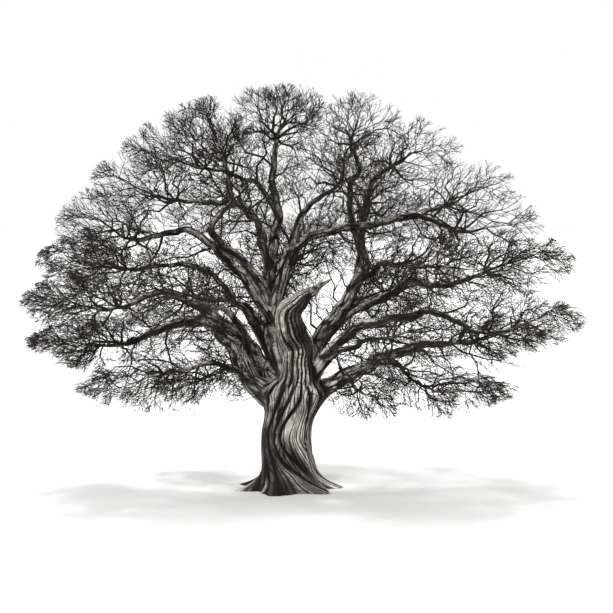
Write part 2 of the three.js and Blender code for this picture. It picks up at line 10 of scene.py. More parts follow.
import bpy
import numpy as np
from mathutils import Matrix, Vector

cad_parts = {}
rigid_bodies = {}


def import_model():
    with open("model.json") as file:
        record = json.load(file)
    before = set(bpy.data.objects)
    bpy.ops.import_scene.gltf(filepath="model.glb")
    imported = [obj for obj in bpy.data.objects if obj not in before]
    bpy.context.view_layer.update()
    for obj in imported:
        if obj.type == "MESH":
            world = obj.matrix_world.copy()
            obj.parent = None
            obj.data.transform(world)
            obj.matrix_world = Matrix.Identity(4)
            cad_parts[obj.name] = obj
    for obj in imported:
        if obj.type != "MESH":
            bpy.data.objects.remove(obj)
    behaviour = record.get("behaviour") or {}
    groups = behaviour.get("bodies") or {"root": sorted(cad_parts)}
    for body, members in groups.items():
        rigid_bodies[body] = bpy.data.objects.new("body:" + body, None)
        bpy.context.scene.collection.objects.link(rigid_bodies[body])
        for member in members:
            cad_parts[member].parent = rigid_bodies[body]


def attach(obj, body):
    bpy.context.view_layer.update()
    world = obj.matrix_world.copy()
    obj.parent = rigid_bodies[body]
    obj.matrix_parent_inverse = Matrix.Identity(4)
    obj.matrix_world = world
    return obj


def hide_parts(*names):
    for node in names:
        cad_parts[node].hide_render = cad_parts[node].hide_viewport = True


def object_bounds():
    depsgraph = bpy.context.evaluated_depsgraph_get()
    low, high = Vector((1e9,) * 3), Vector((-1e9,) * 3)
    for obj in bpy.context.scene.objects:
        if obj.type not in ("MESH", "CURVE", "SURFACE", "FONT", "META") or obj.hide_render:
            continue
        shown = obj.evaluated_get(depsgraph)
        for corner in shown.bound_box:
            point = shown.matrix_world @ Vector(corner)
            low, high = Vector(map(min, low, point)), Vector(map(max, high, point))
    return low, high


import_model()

CAD_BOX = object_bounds()

# Clearances. The margins say how far branches, and then finer twigs, keep from the next mass, as a share
# of its reach. Below zero they reach into it. Limbs outside the last margin aren't tested
GAP = 0.0003
TWIG_TO_LIMB = 0.04
SPACE_MARGIN = 0.05
TWIG_MARGIN = -0.12
NEAR_MARGIN = 1.0

# Finer twigs bridge the valleys between the masses that lie side by side along the top of the crown
VALLEY_SOFTNESS = 0.34
VALLEY_LOWEST = 12.6

# The twigs of a mass reach this far past the model's own box at most
BOX_OVERREACH = 0.25
BOX_LOW = np.array(CAD_BOX[0]) - BOX_OVERREACH
BOX_HIGH = np.array(CAD_BOX[1]) + BOX_OVERREACH

# Trunk
FORK_HEIGHT = 4.1
CROTCH_RISE = 0.8
WAIST_RADIUS = 1.06
ROOT_SPREAD = 1.18
ROOT_HEIGHT = 0.33
ROOT_COUNT = 7
ROOT_VALLEY = 0.5
BUTT_SWELL = 0.21
BUTT_SWELL_HEIGHT = 1.0
FORK_SWELL = 0.47
FORK_SWELL_START = 2.75
FORK_FLATTENING = 0.25
WAIST_HEIGHT = 2.25
WAIST_LEAN = -0.15
FORK_SHIFT = 0.2
FLUTE_DEPTH = 0.035
FLUTE_TWIST = 1.1
TRUNK_RINGS = 11
TRUNK_RING_BUNCHING = 1.5
CROTCH_RINGS = 4
CROTCH_CLOSING = 0.96

# Limbs
SMOOTH_SAMPLES = 12
LIMB_STEP = 0.78
MIN_LIMB_STEPS = 5
COLLAR_SWELL = 0.35
COLLAR_LENGTH = 1.6
LIMB_TAPER_POWER = 0.85
SWELL_START = 0.35
SWELL_SPAN = 0.6
WANDER = 0.07
WANDER_WAVE = 2.3
WANDER_DETUNE = 0.17
STEEP = 0.9
TINY = 1e-9

# Stem of a mass
STEM_STEPS = 3
STEM_BEYOND_CENTRE = 0.78
STEM_LIFT = 0.12
STEM_STRAIGHT_SHARE = 0.3
STEM_ELBOW_SHARE = 0.42
STEM_END_RADIUS = 0.012
STEM_TAPER_POWER = 1.1

# Branches on a stem: the model's own eight, and fillers that face outward, with fewer in front and behind
UP = np.array([0.0, 0.0, 1.0])
CROWN_MIDDLE = np.array([0.6, 0.0, 7.0])
BRANCH_COUNT = 8
BRANCH_REACH = 0.985
BRANCH_SLANT = 0.95
BRANCH_FIRST_SHARE = 0.1
BRANCH_FIRST_SPREAD = 0.06
BRANCH_LAST_SHARE = 0.97
BRANCH_ARCH = 0.08
BRANCH_STEPS = 5
BRANCH_SIDES = 5
BRANCH_THICKNESS = 0.6
BRANCH_MIN_RADIUS = 0.02
BRANCH_FULLNESS = 1.3
POLE_OFFSET = 0.2
FILLER_COUNT = 10
FEWER_FILLERS = 0.58
FILLER_THICKNESS = 0.75
FILLER_LOWEST = -0.1
FILLER_FIRST_SPREAD = 0.4

# Twigs, level by level: how many leave each parent, their radius at most and at least, the steps that
# they bend in, and their tilt. They are fewer in front and behind, and where a mass is less dense
TWIG_LEVELS = [
    {"count": 8, "radius": 0.03, "thinnest": 0.018, "steps": 3, "tilt": 0.84},
    {"count": 6, "radius": 0.016, "thinnest": 0.012, "steps": 2, "tilt": 0.7},
    {"count": 4, "radius": 0.012, "thinnest": 0.01, "steps": 1, "tilt": 0.62},
]
SPRAY_LEVELS = [
    {"count": 8, "radius": 0.018, "thinnest": 0.014, "steps": 2, "tilt": 0.75},
    {"count": 6, "radius": 0.014, "thinnest": 0.0115, "steps": 1, "tilt": 0.6},
]
FEWER_TWIGS = 0.25
DENSITY_POWER = 0.35
TWIG_FIRST_SHARE = 0.2
TWIG_SPAN = 0.75
TWIG_LENGTH = 0.6
TWIG_LENGTH_FALL = 1.35
TWIG_THICKNESS = 0.6
TWIG_TAPER_POWER = 1.5
TWIG_OUTWARD = 0.28
TWIG_SIDES = 3
VARIATION = 0.4
CROOK = 0.08
GOLDEN_ANGLE = 2.399963

# A twig that doesn't fit is shortened step by step, and is left out below its shortest share
SHORTENING = 0.1
SHORTEST_SHARE = 0.4
SHORTEST_TWIG_SHARE = 0.7
TESTED_SHARES = (0.35, 0.6, 0.8, 1.0)

# Sprays: small branches along the boughs, between the masses
SPRAY_FIRST_SHARE = 0.12
SPRAY_SPACING = 0.38
LEAST_SPRAYS = 2
SPRAY_LENGTH = 2.0
SMALLEST_SPRAY = 0.6
LARGEST_SPRAY = 1.75
SPRAY_GIRTH_POWER = 1.4
SPRAY_LOWEST = 3.7
SPRAY_TILT = 1.0
SPRAY_LIFT = 0.05
SPRAY_RADIUS = 0.028
SPRAY_STEPS = 5

# The trunk's and the front stem's places in the order of limbs
TRUNK_NUMBER = 0
STEM_NUMBER = 1

# Which child of a seed, and then which draw from it, is used for what
WANDER_SEED = 0
MASS_SEED = 1
FINE_WANDER_SEED = 60
STEM_SEED = 99
FILLER_SEED = 500
SPRAY_SEED = 700
START_DRAW = 0
TILT_DRAW = 1
LENGTH_DRAW = 2
SPIN_DRAW = 5
TURN_DRAW = 7
PUSH_DRAW = 10
LIFT_DRAW = 11

# Mixing numbers of the seeded draws and of the noise
WORD_BITS = 0xFFFFFFFF
WORD = np.uint64(WORD_BITS)
WORD_SPAN = 2.0**32
FIRST_MIX = np.uint64(0x7FEB352D)
SECOND_MIX = np.uint64(0x846CA68B)
DRAW_STEP = np.uint64(0x9E3779B9)
CHILD_STEP = np.uint64(31)
NOISE_BITS = 0xFFFF
NOISE_PRIMES = (73856093, 19349663, 83492791)

# Fine lines of the limbs, which sway once more at two smaller scales and vary in thickness
FINE_STEP = 0.16
MIN_FINE_STEPS = 8
FINE_WANDER = 0.024
FINE_WAVE = 1.1
FINEST_SHARE = 3
LUMP_SIZE = 0.12
LUMP_LENGTH = 0.7

# Bark network: how finely it is melted, how widely its forks are filled, and how many corners a face may
# share with the leaders before it goes with them
VOXEL = 0.038
NETWORK_RADIUS = 0.125
NETWORK_RINGS = 24
NETWORK_SIDES = 48
NETWORK_TOP_SHARE = 0.98
SOLID_SIDES = 14
FILLET = 0.05
LOW_FILLET = 0.11
FILLET_RISE = (3.0, 3.8)
FILLET_FALL = (5.5, 8.5)
FOOT_SINK = 0.5
FOOT_SINK_RISE = (2.9, 3.75)
FORK_STRETCH = 1.1
FIELD_REACH = 0.5
LEAST_WEIGHT = 1e-12
MELT_ROUNDS = 4
MELT_STEP = 0.08
CORNERS_SHARED = 2

# Where the pieces of bark run into each other, the inner one is this share of its width
JOIN_LENGTH = 0.32
HIDDEN_SHARE = 0.6
TRUNK_JOIN_HEIGHT = 2.9

# Ringed bark of the lower trunk and the thin boughs
TRUNK_SIDES = 280
TRUNK_RING_STEP = 0.028
TRUNK_RING_GATHER = 1.25
BOUGH_RING_STEP = 0.07
BOUGH_LEAST_RINGS = 4
BOUGH_SIDE_WIDTH = 0.05
BOUGH_SIDES = (9, 30)
CAP_RIDGE = 0.5

# Bark relief of the limbs: the width of its ridges, how far they are drawn out, and their depth
RIDGE_WIDTH = 0.14
FINE_RIDGE_WIDTH = 0.06
RIDGE_STRETCH = 7.0
RIDGE_SHOULDER = 0.38
RIDGE_SWAY = 0.6
RIDGE_SWAY_WIDTH = 3
COARSE_SHARE = 0.65
FINE_SHARE = 0.35
RIDGE_LEVEL = 0.75
RELIEF_SHARE = 0.2
RELIEF_MOST = 0.065
RELIEF_BLEND = 0.05
RELIEF_LEAST_WEIGHT = 0.02
AGE_RADII = (0.05, 0.3)
LIMB_SHIFTS = {"sway": 91.3, "coarse": 17.7, "fine": 41.9}

# Bark relief of the trunk: cords side by side that sweep into the roots, broken up by patches of noise.
# Each patch has its count round the trunk, its length and its own shift through the noise
CORD_COUNT = 17
FINE_CORD_COUNT = 47
FINE_CORD_SHARE = 0.5
FINE_CORD_SHORTENING = 3
CORD_STRETCH = 2.6
CORD_SWAY = 3.0
CORD_FURROW = 0.08
CORD_SHOULDER = 0.8
CORD_SHIFTS = {"coarse": 7.1, "fine": 33.3}
BREAK_UP = (3, 1.3, 5.3)
BREAK_UP_LEVELS = (0.75, 0.35)
BANDS = (2.3, 3.2, 61.7)
BAND_EDGES = (0.3, 0.62)
BAND_LEVELS = (0.55, 0.5)
FLAKES = (9, 0.45, 19.4)
FLAKE_SIZE = 0.3
TRUNK_RELIEF = 0.12
FOOT_RELIEF = 1.4
ROOT_SWEEP = 0.33
ROOT_SWEEP_POWER = 1.25
ROOT_SWEEP_SIDE = 0.9

# Camera, as the drawing sees the tree
PHOTO_SIDE = 613
PIXELS_PER_METRE = 22.95
CAMERA_DISTANCE = 75.0
CAMERA_ELEVATION = math.radians(4.0)
CAMERA_CLIP_END = 1000.0
AIM = (0.7625, 0.0, 7.95)
SENSOR = 36.0

# Looks of the bark: its tone and its height are sums of these shares, and its stops run from the darkest
# tone. Its darkest stops give the furrows partly their own dark colour and partly painted shade, and its
# palest stops make the crests paler than their own grey, a painted highlight.
BARK_STOPS_WITH_PAINTED_SHADE_AND_HIGHLIGHT = [(0.0, (0.003, 0.0026, 0.0022)), (0.38, (0.01, 0.0085, 0.007)), (0.58, (0.06, 0.051, 0.043)),
              (0.76, (0.29, 0.265, 0.23)), (1.0, (0.7, 0.67, 0.61))]
# The share for faces that look up is painted light: paler tops and darker undersides of the limbs.
TONE = {"ridge": 0.85, "grain": 0.3, "crumb": 0.3, "drop": 0.48, "painted_top_light": 0.16, "age": 0.22}
BUMP = {"ridge": 0.6, "grain": 0.5, "crumb": 0.35}
BUMP_STRENGTH = 0.5
BUMP_DISTANCE = 0.03
GRAIN_SCALE = 5.0
GRAIN_DETAIL = 5.0
CRUMB_SCALE = 28.0
CRUMB_DETAIL = 6.0
LICHEN_COLOUR = (0.24, 0.25, 0.2, 1.0)
LICHEN_SHARE = 0.45
LICHEN_EDGES = (0.5, 0.7)
LICHEN_SCALE = 0.9

# Looks of the twigs, each of which takes one of the colours
TWIG_COLOURS = [(0.018, 0.014, 0.011), (0.028, 0.022, 0.017), (0.012, 0.01, 0.008)]
TWIG_DARK_SHARE = 0.7
TWIG_GRAIN_SCALE = 40.0

# Looks of all, and the stage
PLAIN_DETAIL = 3.0
ROUGHNESS = {"bark": 0.92, "twigs": 0.85, "floor": 0.9}
SPECULAR = 0.2
FLOOR_COLOUR = (0.62, 0.62, 0.615)
FLOOR_DROP = 0.003
FLOOR_REACH = 400.0
SKY_COLOUR = (1.0, 1.0, 1.0)
SKY_STRENGTH = 1.0
# Each lamp is a distant one: its strength, its softness and its tilt, all in degrees but the first
LAMPS = {
    "key": (3.2, 9.0, (-21.0, 0.0, 12.0)),
    "front": (2.8, 40.0, (58.0, 0.0, -40.0)),
}

# Limbs from this radius up are replaced by the melted network. Each piece of twigs has these boughs' masses
THICK_LIMB = 0.24
LEADERS = ("left_leader", "right_leader")
TWIG_PARTS = {
    "left_low": ["left_long", "left_main", "left_low", "left_hang", "left_mid"],
    "left_high": ["left_arch", "left_hook", "left_upper", "left_high", "back_high_left"],
    "top": ["left_leader", "right_leader", "right_fork", "leader_right", "front_high"],
    "right_high": ["right_arch", "right_arch_upper", "right_main", "right_mid", "back_high_right"],
    "right_low": ["right_bottom", "right_low", "right_droop", "right_hang", "front_right"],
    "far_and_near": ["back_left", "back_right", "back_mid", "front_left"],
}

# Each bough leaves the trunk's axis at a height, its rise, or its parent at a share of the parent's length.
# It passes its elbows and ends at its tip, where its mass of twigs begins, with its centre and its reach.
# The two radii are those past its collar and at its tip. The density is that of the mass's finer twigs,
# and sprays is how thickly small branches stand along the bough.
# A pointed mass grows flatter towards the outer side of the crown.
BOUGHS = [
    dict(name="left_leader", parent="trunk", rise=3.4, radii=(0.43, 0.095), sprays=0.7,
         elbows=[(-0.6, 0.45, 6.15), (-0.7, 0.45, 8.1), (-0.85, 0.35, 9.8), (-0.48, 0.4, 11.7),
                 (-0.72, 0.45, 13.3)],
         tip=(-0.56, 0.6, 15.0), centre=(-0.25, 0.6, 15.8), reach=(2.8, 2.5, 1.75), density=0.9),
    dict(name="right_leader", parent="trunk", rise=3.6, radii=(0.4, 0.085), sprays=1.4,
         elbows=[(0.65, 0.45, 5.0), (1.6, 0.6, 6.85), (2.6, 0.55, 8.3), (3.25, 0.4, 9.5), (3.13, 0.3, 10.7),
                 (3.33, 0.2, 12.3), (3.55, 0.0, 13.3)],
         tip=(4.3, -0.4, 13.95), centre=(5.0, -0.8, 14.3), reach=(2.4, 2.5, 1.8), density=0.52),
    dict(name="right_bottom", parent="trunk", rise=3.4, radii=(0.4, 0.1),
         elbows=[(1.7, 0.15, 4.45), (3.3, 0.5, 5.25), (4.9, 0.9, 5.9), (6.2, 1.5, 6.15)],
         tip=(7.3, 2.1, 6.15), centre=(9.0, 2.7, 6.35), reach=(2.8, 2.8, 1.35), pointed=0.6,
         density=1.2),
    dict(name="right_low", parent="trunk", rise=3.8, radii=(0.3, 0.09), sprays=1.2,
         elbows=[(1.3, -0.35, 5.35), (2.35, -0.7, 6.65), (3.3, -0.85, 7.25), (4.8, -0.9, 7.5),
                 (6.2, -1.0, 7.78)],
         tip=(8.0, -1.2, 6.95), centre=(9.9, -1.4, 7.4), reach=(2.9, 2.8, 1.55), pointed=0.4,
         density=1.3),
    dict(name="left_long", parent="trunk", rise=3.6, radii=(0.37, 0.085),
         elbows=[(-1.15, 0.3, 5.25), (-2.1, 0.2, 6.65), (-3.3, -0.1, 7.55), (-4.4, -0.6, 8.25),
                 (-5.5, -1.1, 8.65)],
         tip=(-6.9, -1.6, 8.1), centre=(-8.6, -2.0, 8.2), reach=(2.9, 2.8, 1.6), pointed=0.3,
         density=1.6),
    dict(name="left_main", parent="trunk", rise=3.4, radii=(0.46, 0.095), sprays=2.0,
         elbows=[(-1.4, -0.3, 4.45), (-2.15, -0.55, 5.65), (-2.8, -0.6, 6.8), (-4.0, -0.35, 7.38),
                 (-5.6, 0.15, 6.95)],
         tip=(-7.0, 0.5, 6.3), centre=(-8.8, 0.7, 6.3), reach=(2.9, 2.8, 1.4), pointed=0.6,
         density=1.5),
    dict(name="left_arch", parent="left_leader", share=0.31, radii=(0.27, 0.09), sprays=2.0,
         elbows=[(-1.4, -0.2, 8.45), (-2.35, -0.7, 9.7), (-3.4, -1.2, 10.75), (-4.4, -1.6, 11.3)],
         tip=(-6.2, -2.4, 10.95), centre=(-7.3, -2.8, 11.4), reach=(2.6, 2.7, 1.8), density=0.95),
    dict(name="left_hook", parent="left_leader", share=0.36, radii=(0.26, 0.075), sprays=0.4,
         elbows=[(-1.45, -0.35, 9.35), (-2.35, -0.6, 10.25), (-3.15, -0.7, 10.95), (-3.25, -0.65, 11.8),
                 (-2.5, -0.5, 12.4)],
         tip=(-2.7, -0.2, 13.95), centre=(-3.2, 0.3, 15.1), reach=(2.5, 2.5, 1.85)),
    dict(name="left_mid", parent="left_leader", share=0.16, radii=(0.17, 0.08), sprays=1.0,
         elbows=[(-1.75, 0.7, 7.35), (-2.75, 1.15, 8.55), (-3.6, 1.6, 9.35), (-4.9, 2.1, 9.7)],
         tip=(-6.9, 2.5, 9.45), centre=(-8.7, 2.7, 9.75), reach=(2.8, 2.7, 1.75), pointed=0.3,
         density=1.75),
    dict(name="left_upper", parent="left_leader", share=0.5, radii=(0.17, 0.085), sprays=0.5,
         elbows=[(-1.2, 0.55, 10.7), (-1.45, 0.65, 11.8), (-2.3, 0.85, 12.4)],
         tip=(-4.6, 1.6, 12.5), centre=(-6.4, 2.0, 13.0), reach=(2.6, 2.6, 1.85), density=0.85),
    dict(name="left_high", parent="left_leader", share=0.75, radii=(0.12, 0.065),
         elbows=[(-1.15, 0.0, 13.05), (-2.1, -0.75, 13.6)],
         tip=(-3.3, -1.7, 13.9), centre=(-4.6, -2.2, 14.15), reach=(2.5, 2.6, 1.8), density=0.9),
    dict(name="left_low", parent="left_main", share=0.16, radii=(0.14, 0.075), sprays=2.0,
         elbows=[(-2.5, -1.1, 5.4), (-3.4, -1.6, 5.6)],
         tip=(-4.9, -2.3, 5.35), centre=(-6.5, -2.9, 4.85), reach=(2.7, 2.5, 1.25), pointed=1.0,
         density=1.3),
    dict(name="left_hang", parent="left_main", share=0.12, radii=(0.13, 0.06),
         elbows=[(-2.2, 1.0, 4.95), (-2.9, 2.0, 4.95)],
         tip=(-3.5, 2.7, 4.65), centre=(-4.5, 3.9, 4.3), reach=(2.5, 2.5, 1.2), density=1.3),
    dict(name="right_arch", parent="left_leader", share=0.33, radii=(0.26, 0.085), sprays=2.3,
         elbows=[(-0.3, -0.5, 9.4), (0.3, -0.65, 10.6), (1.5, -0.7, 11.2), (3.0, -0.8, 11.45),
                 (4.4, -1.0, 11.7), (5.4, -1.25, 11.95)],
         tip=(6.7, -1.8, 11.45), centre=(8.15, -2.4, 11.4), reach=(2.8, 2.6, 1.7), density=0.5),
    dict(name="leader_right", parent="right_arch", share=0.34, radii=(0.17, 0.075),
         elbows=[(0.35, -0.85, 11.6), (1.0, -1.3, 12.45)],
         tip=(1.9, -2.3, 13.05), centre=(2.1, -3.9, 13.6), reach=(2.6, 2.6, 1.9), density=0.85),
    dict(name="right_arch_upper", parent="right_arch", share=0.8, radii=(0.12, 0.07),
         elbows=[(5.7, -0.3, 11.95)],
         tip=(6.6, 0.6, 12.25), centre=(7.8, 1.7, 12.65), reach=(2.6, 2.6, 1.75), density=0.5),
    dict(name="right_fork", parent="right_leader", share=0.68, radii=(0.17, 0.075),
         elbows=[(2.65, 0.25, 12.0), (2.65, 0.15, 13.0), (3.05, 0.05, 13.9)],
         tip=(2.8, 0.0, 14.75), centre=(2.6, 0.4, 15.4), reach=(2.6, 2.5, 1.75), density=0.6),
    dict(name="right_main", parent="right_leader", share=0.3, radii=(0.26, 0.085), sprays=1.2,
         elbows=[(2.9, 0.8, 7.8), (4.1, 0.95, 8.2), (5.4, 1.15, 9.0), (6.8, 1.4, 8.75)],
         tip=(8.3, 1.6, 9.2), centre=(10.1, 1.8, 9.75), reach=(2.75, 2.6, 1.65), pointed=0.3,
         density=1.25),
    dict(name="right_mid", parent="right_leader", share=0.5, radii=(0.15, 0.065), sprays=2.4,
         elbows=[(4.0, -1.2, 9.85), (4.9, -2.5, 9.85)],
         tip=(5.9, -3.7, 9.85), centre=(7.0, -4.9, 9.75), reach=(2.6, 2.6, 1.8), density=0.95),
    dict(name="right_droop", parent="right_bottom", share=0.55, radii=(0.13, 0.065), sprays=2.2,
         elbows=[(4.75, -0.5, 5.4)],
         tip=(5.4, -1.7, 4.85), centre=(7.05, -3.0, 4.65), reach=(2.7, 2.6, 1.25), pointed=1.0,
         density=1.35),
    dict(name="right_hang", parent="right_bottom", share=0.33, radii=(0.12, 0.055),
         elbows=[(2.65, -0.9, 4.8)],
         tip=(2.85, -2.0, 4.6), centre=(3.35, -3.5, 4.45), reach=(1.8, 2.2, 1.1), density=1.2),
    dict(name="front_left", parent="left_long", share=0.32, radii=(0.17, 0.08),
         elbows=[(-2.2, -1.7, 7.45), (-3.0, -3.2, 8.15)],
         tip=(-3.9, -4.6, 8.45), centre=(-4.9, -6.1, 8.8), reach=(2.9, 2.9, 2.0), density=1.1),
    dict(name="front_right", parent="right_low", share=0.24, radii=(0.15, 0.075),
         elbows=[(2.4, -2.0, 6.25), (3.3, -3.3, 6.75)],
         tip=(3.9, -4.6, 6.95), centre=(4.7, -6.1, 7.2), reach=(2.8, 2.9, 1.8), density=1.1),
    dict(name="front_high", parent="left_leader", share=0.53, radii=(0.14, 0.07), sprays=0.6,
         elbows=[(-1.3, -1.3, 11.45), (-1.6, -2.6, 11.85)],
         tip=(-1.7, -3.8, 12.05), centre=(-1.8, -5.4, 12.4), reach=(2.8, 2.7, 2.0), density=0.28),
    dict(name="back_left", parent="left_leader", share=0.2, radii=(0.22, 0.085),
         elbows=[(-1.7, 2.2, 7.55), (-2.8, 3.5, 7.95)],
         tip=(-4.0, 4.9, 7.95), centre=(-5.4, 6.3, 8.1), reach=(3.0, 2.9, 2.0)),
    dict(name="back_right", parent="right_leader", share=0.24, radii=(0.21, 0.085), sprays=1.2,
         elbows=[(2.3, 2.2, 7.55), (3.2, 3.5, 8.05)],
         tip=(4.2, 4.9, 8.15), centre=(5.5, 6.3, 8.3), reach=(3.0, 2.9, 2.0), density=1.2),
    dict(name="back_mid", parent="left_leader", share=0.26, radii=(0.2, 0.085), sprays=2.4,
         elbows=[(-0.3, 2.3, 8.55), (0.0, 4.2, 9.15)],
         tip=(0.1, 5.9, 9.45), centre=(0.2, 7.6, 9.85), reach=(3.0, 2.9, 2.1), density=2.1),
    dict(name="back_high_left", parent="left_leader", share=0.5, radii=(0.14, 0.075), sprays=0.6,
         elbows=[(-1.3, 1.7, 11.45), (-1.9, 2.9, 12.05)],
         tip=(-2.5, 3.9, 12.45), centre=(-3.3, 5.1, 12.8), reach=(2.9, 2.8, 2.0), density=0.35),
    dict(name="back_high_right", parent="right_leader", share=0.53, radii=(0.14, 0.075),
         elbows=[(3.15, 1.7, 11.25), (3.25, 2.8, 11.85)],
         tip=(3.5, 3.8, 12.25), centre=(4.1, 5.1, 12.7), reach=(2.9, 2.8, 2.0), density=0.5),
]

# The bare stem that twists up from the fork in front of the leaders, swells at its bend and ends in a point
FRONT_STEM = dict(
    name="front_stem", parent="trunk", rise=3.3, radii=(0.84, 0.03), swell=0.5,
    elbows=[(0.38, -0.45, 4.95), (0.4, -0.5, 6.05), (0.12, -0.6, 6.95), (0.05, -0.7, 7.6), (0.4, -0.75, 8.25),
            (1.0, -0.8, 8.65)],
    tip=(1.85, -0.8, 9.2),
)


# Seeded draws

def scramble(seed):
    bits = np.asarray(seed, dtype=np.uint64) & WORD
    bits = ((bits ^ (bits >> np.uint64(16))) * FIRST_MIX) & WORD
    bits = ((bits ^ (bits >> np.uint64(15))) * SECOND_MIX) & WORD
    return bits ^ (bits >> np.uint64(16))


def draw(seed, which):
    """A number from 0 to 1 that depends only on a seed and on which draw it is."""
    step = ((np.asarray(which, dtype=np.uint64) + np.uint64(1)) * DRAW_STEP) & WORD
    return scramble(np.asarray(seed, dtype=np.uint64) + step) / WORD_SPAN


def child_seed(seed, index):
    grown = (np.asarray(seed, dtype=np.uint64) * CHILD_STEP) & WORD
    return scramble(grown + np.asarray(index, dtype=np.uint64) + np.uint64(1))


def varied(seed, which):
    """A factor close to one."""
    return 1 + VARIATION * (draw(seed, which) - 0.5)


def lattice_noise(places):
    """Smooth noise from 0 to 1 at places (n, 3), with features about one unit across."""
    cell = np.floor(places)
    part = places - cell
    part = part * part * (3 - 2 * part)
    cell = cell.astype(np.int64) & NOISE_BITS
    total = np.zeros(len(places))
    for corner in itertools.product((0, 1), repeat=3):
        seed = np.zeros(len(places), dtype=np.int64)
        weight = np.ones(len(places))
        for axis in range(3):
            seed += (cell[:, axis] + corner[axis]) * NOISE_PRIMES[axis]
            weight *= np.abs(1 - corner[axis] - part[:, axis])
        total += weight * draw(seed & WORD_BITS, 0)
    return total


# Small helpers

def smoothstep(value, low, high):
    share = np.clip((value - low) / (high - low), 0, 1)
    return share * share * (3 - 2 * share)


def unit(vectors):
    return vectors / np.maximum(np.linalg.norm(vectors, axis=-1, keepdims=True), TINY)


def dot(a, b):
    return np.sum(a * b, axis=-1)


def length_so_far(points):
    """The length of a path up to each of its points."""
    return np.concatenate([[0], np.cumsum(np.linalg.norm(np.diff(points, axis=0), axis=1))])


def path_length(points):
    return float(np.linalg.norm(np.diff(points, axis=0), axis=1).sum())


def smooth_path(places):
    """A smooth curve through places, with even samples between each two."""
    places = np.array(places, dtype=float)
    padded = np.vstack([2 * places[0] - places[1], places, 2 * places[-1] - places[-2]])
    points = []
    for i in range(1, len(padded) - 2):
        a, b, c, d = padded[i - 1:i + 3]
        for t in np.arange(SMOOTH_SAMPLES) / SMOOTH_SAMPLES:
            square = 2 * a - 5 * b + 4 * c - d
            cube = d - a + 3 * b - 3 * c
            points.append(0.5 * (2 * b + (c - a) * t + square * t * t + cube * t**3))
    points.append(places[-1])
    return np.array(points)


def even_path(points, steps):
    """The path cut anew into steps of one length."""
    travelled = length_so_far(points)
    wanted = np.linspace(0, travelled[-1], steps + 1)
    return np.stack([np.interp(wanted, travelled, points[:, axis]) for axis in range(3)], axis=1)


def wander(points, seed, size=WANDER, wave=WANDER_WAVE):
    """The path with a slight sway that fades at both ends."""
    waves = path_length(points) / wave
    share = np.linspace(0, 1, len(points))
    shifted = points.copy()
    for axis in range(3):
        phase = 2 * math.pi * float(draw(seed, axis))
        sway = np.sin(2 * math.pi * waves * share * (1 + WANDER_DETUNE * axis) + phase)
        shifted[:, axis] += size * np.sin(math.pi * share) * sway
    return shifted


def stretch_at(points, share):
    """The stretch of an evenly spread path that a share of its length falls on, and the part of it passed."""
    place = min(max(share, 0), 1) * (len(points) - 1)
    index = min(int(place), len(points) - 2)
    return points[index], points[index + 1] - points[index], place - index


def along(points, share):
    start, step, part = stretch_at(points, share)
    return start + step * part


def heading_at(points, share):
    return unit(stretch_at(points, share)[1])


def turned_frames(points):
    """The two directions across a path, carried along it without twisting."""
    before = np.vstack([points[:1], points[:-1]])
    after = np.vstack([points[1:], points[-1:]])
    headings = unit(after - before)
    start = np.array([1.0, 0, 0]) if abs(headings[0][0]) < STEEP else np.array([0, 1.0, 0])
    across = [unit(start - headings[0] * dot(start, headings[0]))]
    for heading in headings[1:]:
        carried = across[-1] - heading * dot(across[-1], heading)
        across.append(unit(carried))
    across = np.array(across)
    return across, np.cross(headings, across)


def even_angles(sides):
    return 2 * math.pi * np.arange(sides) / sides


def circles(across, aside, angle):
    """Places at angles round a circle of radius one, for each pair of directions across a path."""
    return across[:, None] * np.cos(angle)[..., None] + aside[:, None] * np.sin(angle)[..., None]


# Trunk and limbs, as in the model

def trunk_heights():
    ground = [FORK_HEIGHT * (i / TRUNK_RINGS) ** TRUNK_RING_BUNCHING for i in range(TRUNK_RINGS + 1)]
    crotch = [FORK_HEIGHT + CROTCH_RISE * math.sin(0.5 * math.pi * i / CROTCH_RINGS)
              for i in range(1, CROTCH_RINGS + 1)]
    return np.array(ground + crotch)


def trunk_axis(height):
    lean = WAIST_LEAN * smoothstep(height, 0, WAIST_HEIGHT)
    shift = (FORK_SHIFT - WAIST_LEAN) * smoothstep(height, WAIST_HEIGHT, FORK_HEIGHT)
    height = np.asarray(height, dtype=float)
    return np.stack([lean + shift, np.zeros_like(height), height], axis=-1)


def trunk_radius(height, angle):
    ridge = 0.5 + 0.5 * np.cos(ROOT_COUNT * angle + np.sin(2 * angle))
    lobe = ROOT_VALLEY + (1 - ROOT_VALLEY) * ridge
    roots = ROOT_SPREAD * np.exp(-height / ROOT_HEIGHT) * lobe
    butt = BUTT_SWELL * np.exp(-height / BUTT_SWELL_HEIGHT)
    fork_share = np.clip((height - FORK_SWELL_START) / (FORK_HEIGHT - FORK_SWELL_START), 0, 1)
    fork = FORK_SWELL * fork_share**2 * (1 - FORK_FLATTENING + FORK_FLATTENING * np.cos(2 * angle))
    flute = 1 + FLUTE_DEPTH * np.cos(ROOT_COUNT * angle - FLUTE_TWIST * height / WAIST_HEIGHT)
    crotch_share = np.clip((height - FORK_HEIGHT) / CROTCH_RISE, 0, 1)
    crotch = np.sqrt(1 - CROTCH_CLOSING * crotch_share**2)
    return ((WAIST_RADIUS + butt + fork) * flute + roots) * crotch


def limb_radius(radii, length, share):
    """The radius at a share of a limb's length, with the collar where it leaves its parent."""
    thick, thin = radii
    collar = 1 + COLLAR_SWELL * np.exp(-share * length / (COLLAR_LENGTH * thick))
    return (thin + (thick - thin) * (1 - share) ** LIMB_TAPER_POWER) * collar


def girth(limb, share):
    """The radius at a share of a limb's length. The bare stem swells where it bends."""
    bend = np.sin(math.pi * np.clip((share - SWELL_START) / SWELL_SPAN, 0, 1)) ** 2
    return limb_radius(limb["radii"], limb["length"], share) * (1 + limb.get("swell", 0.0) * bend)


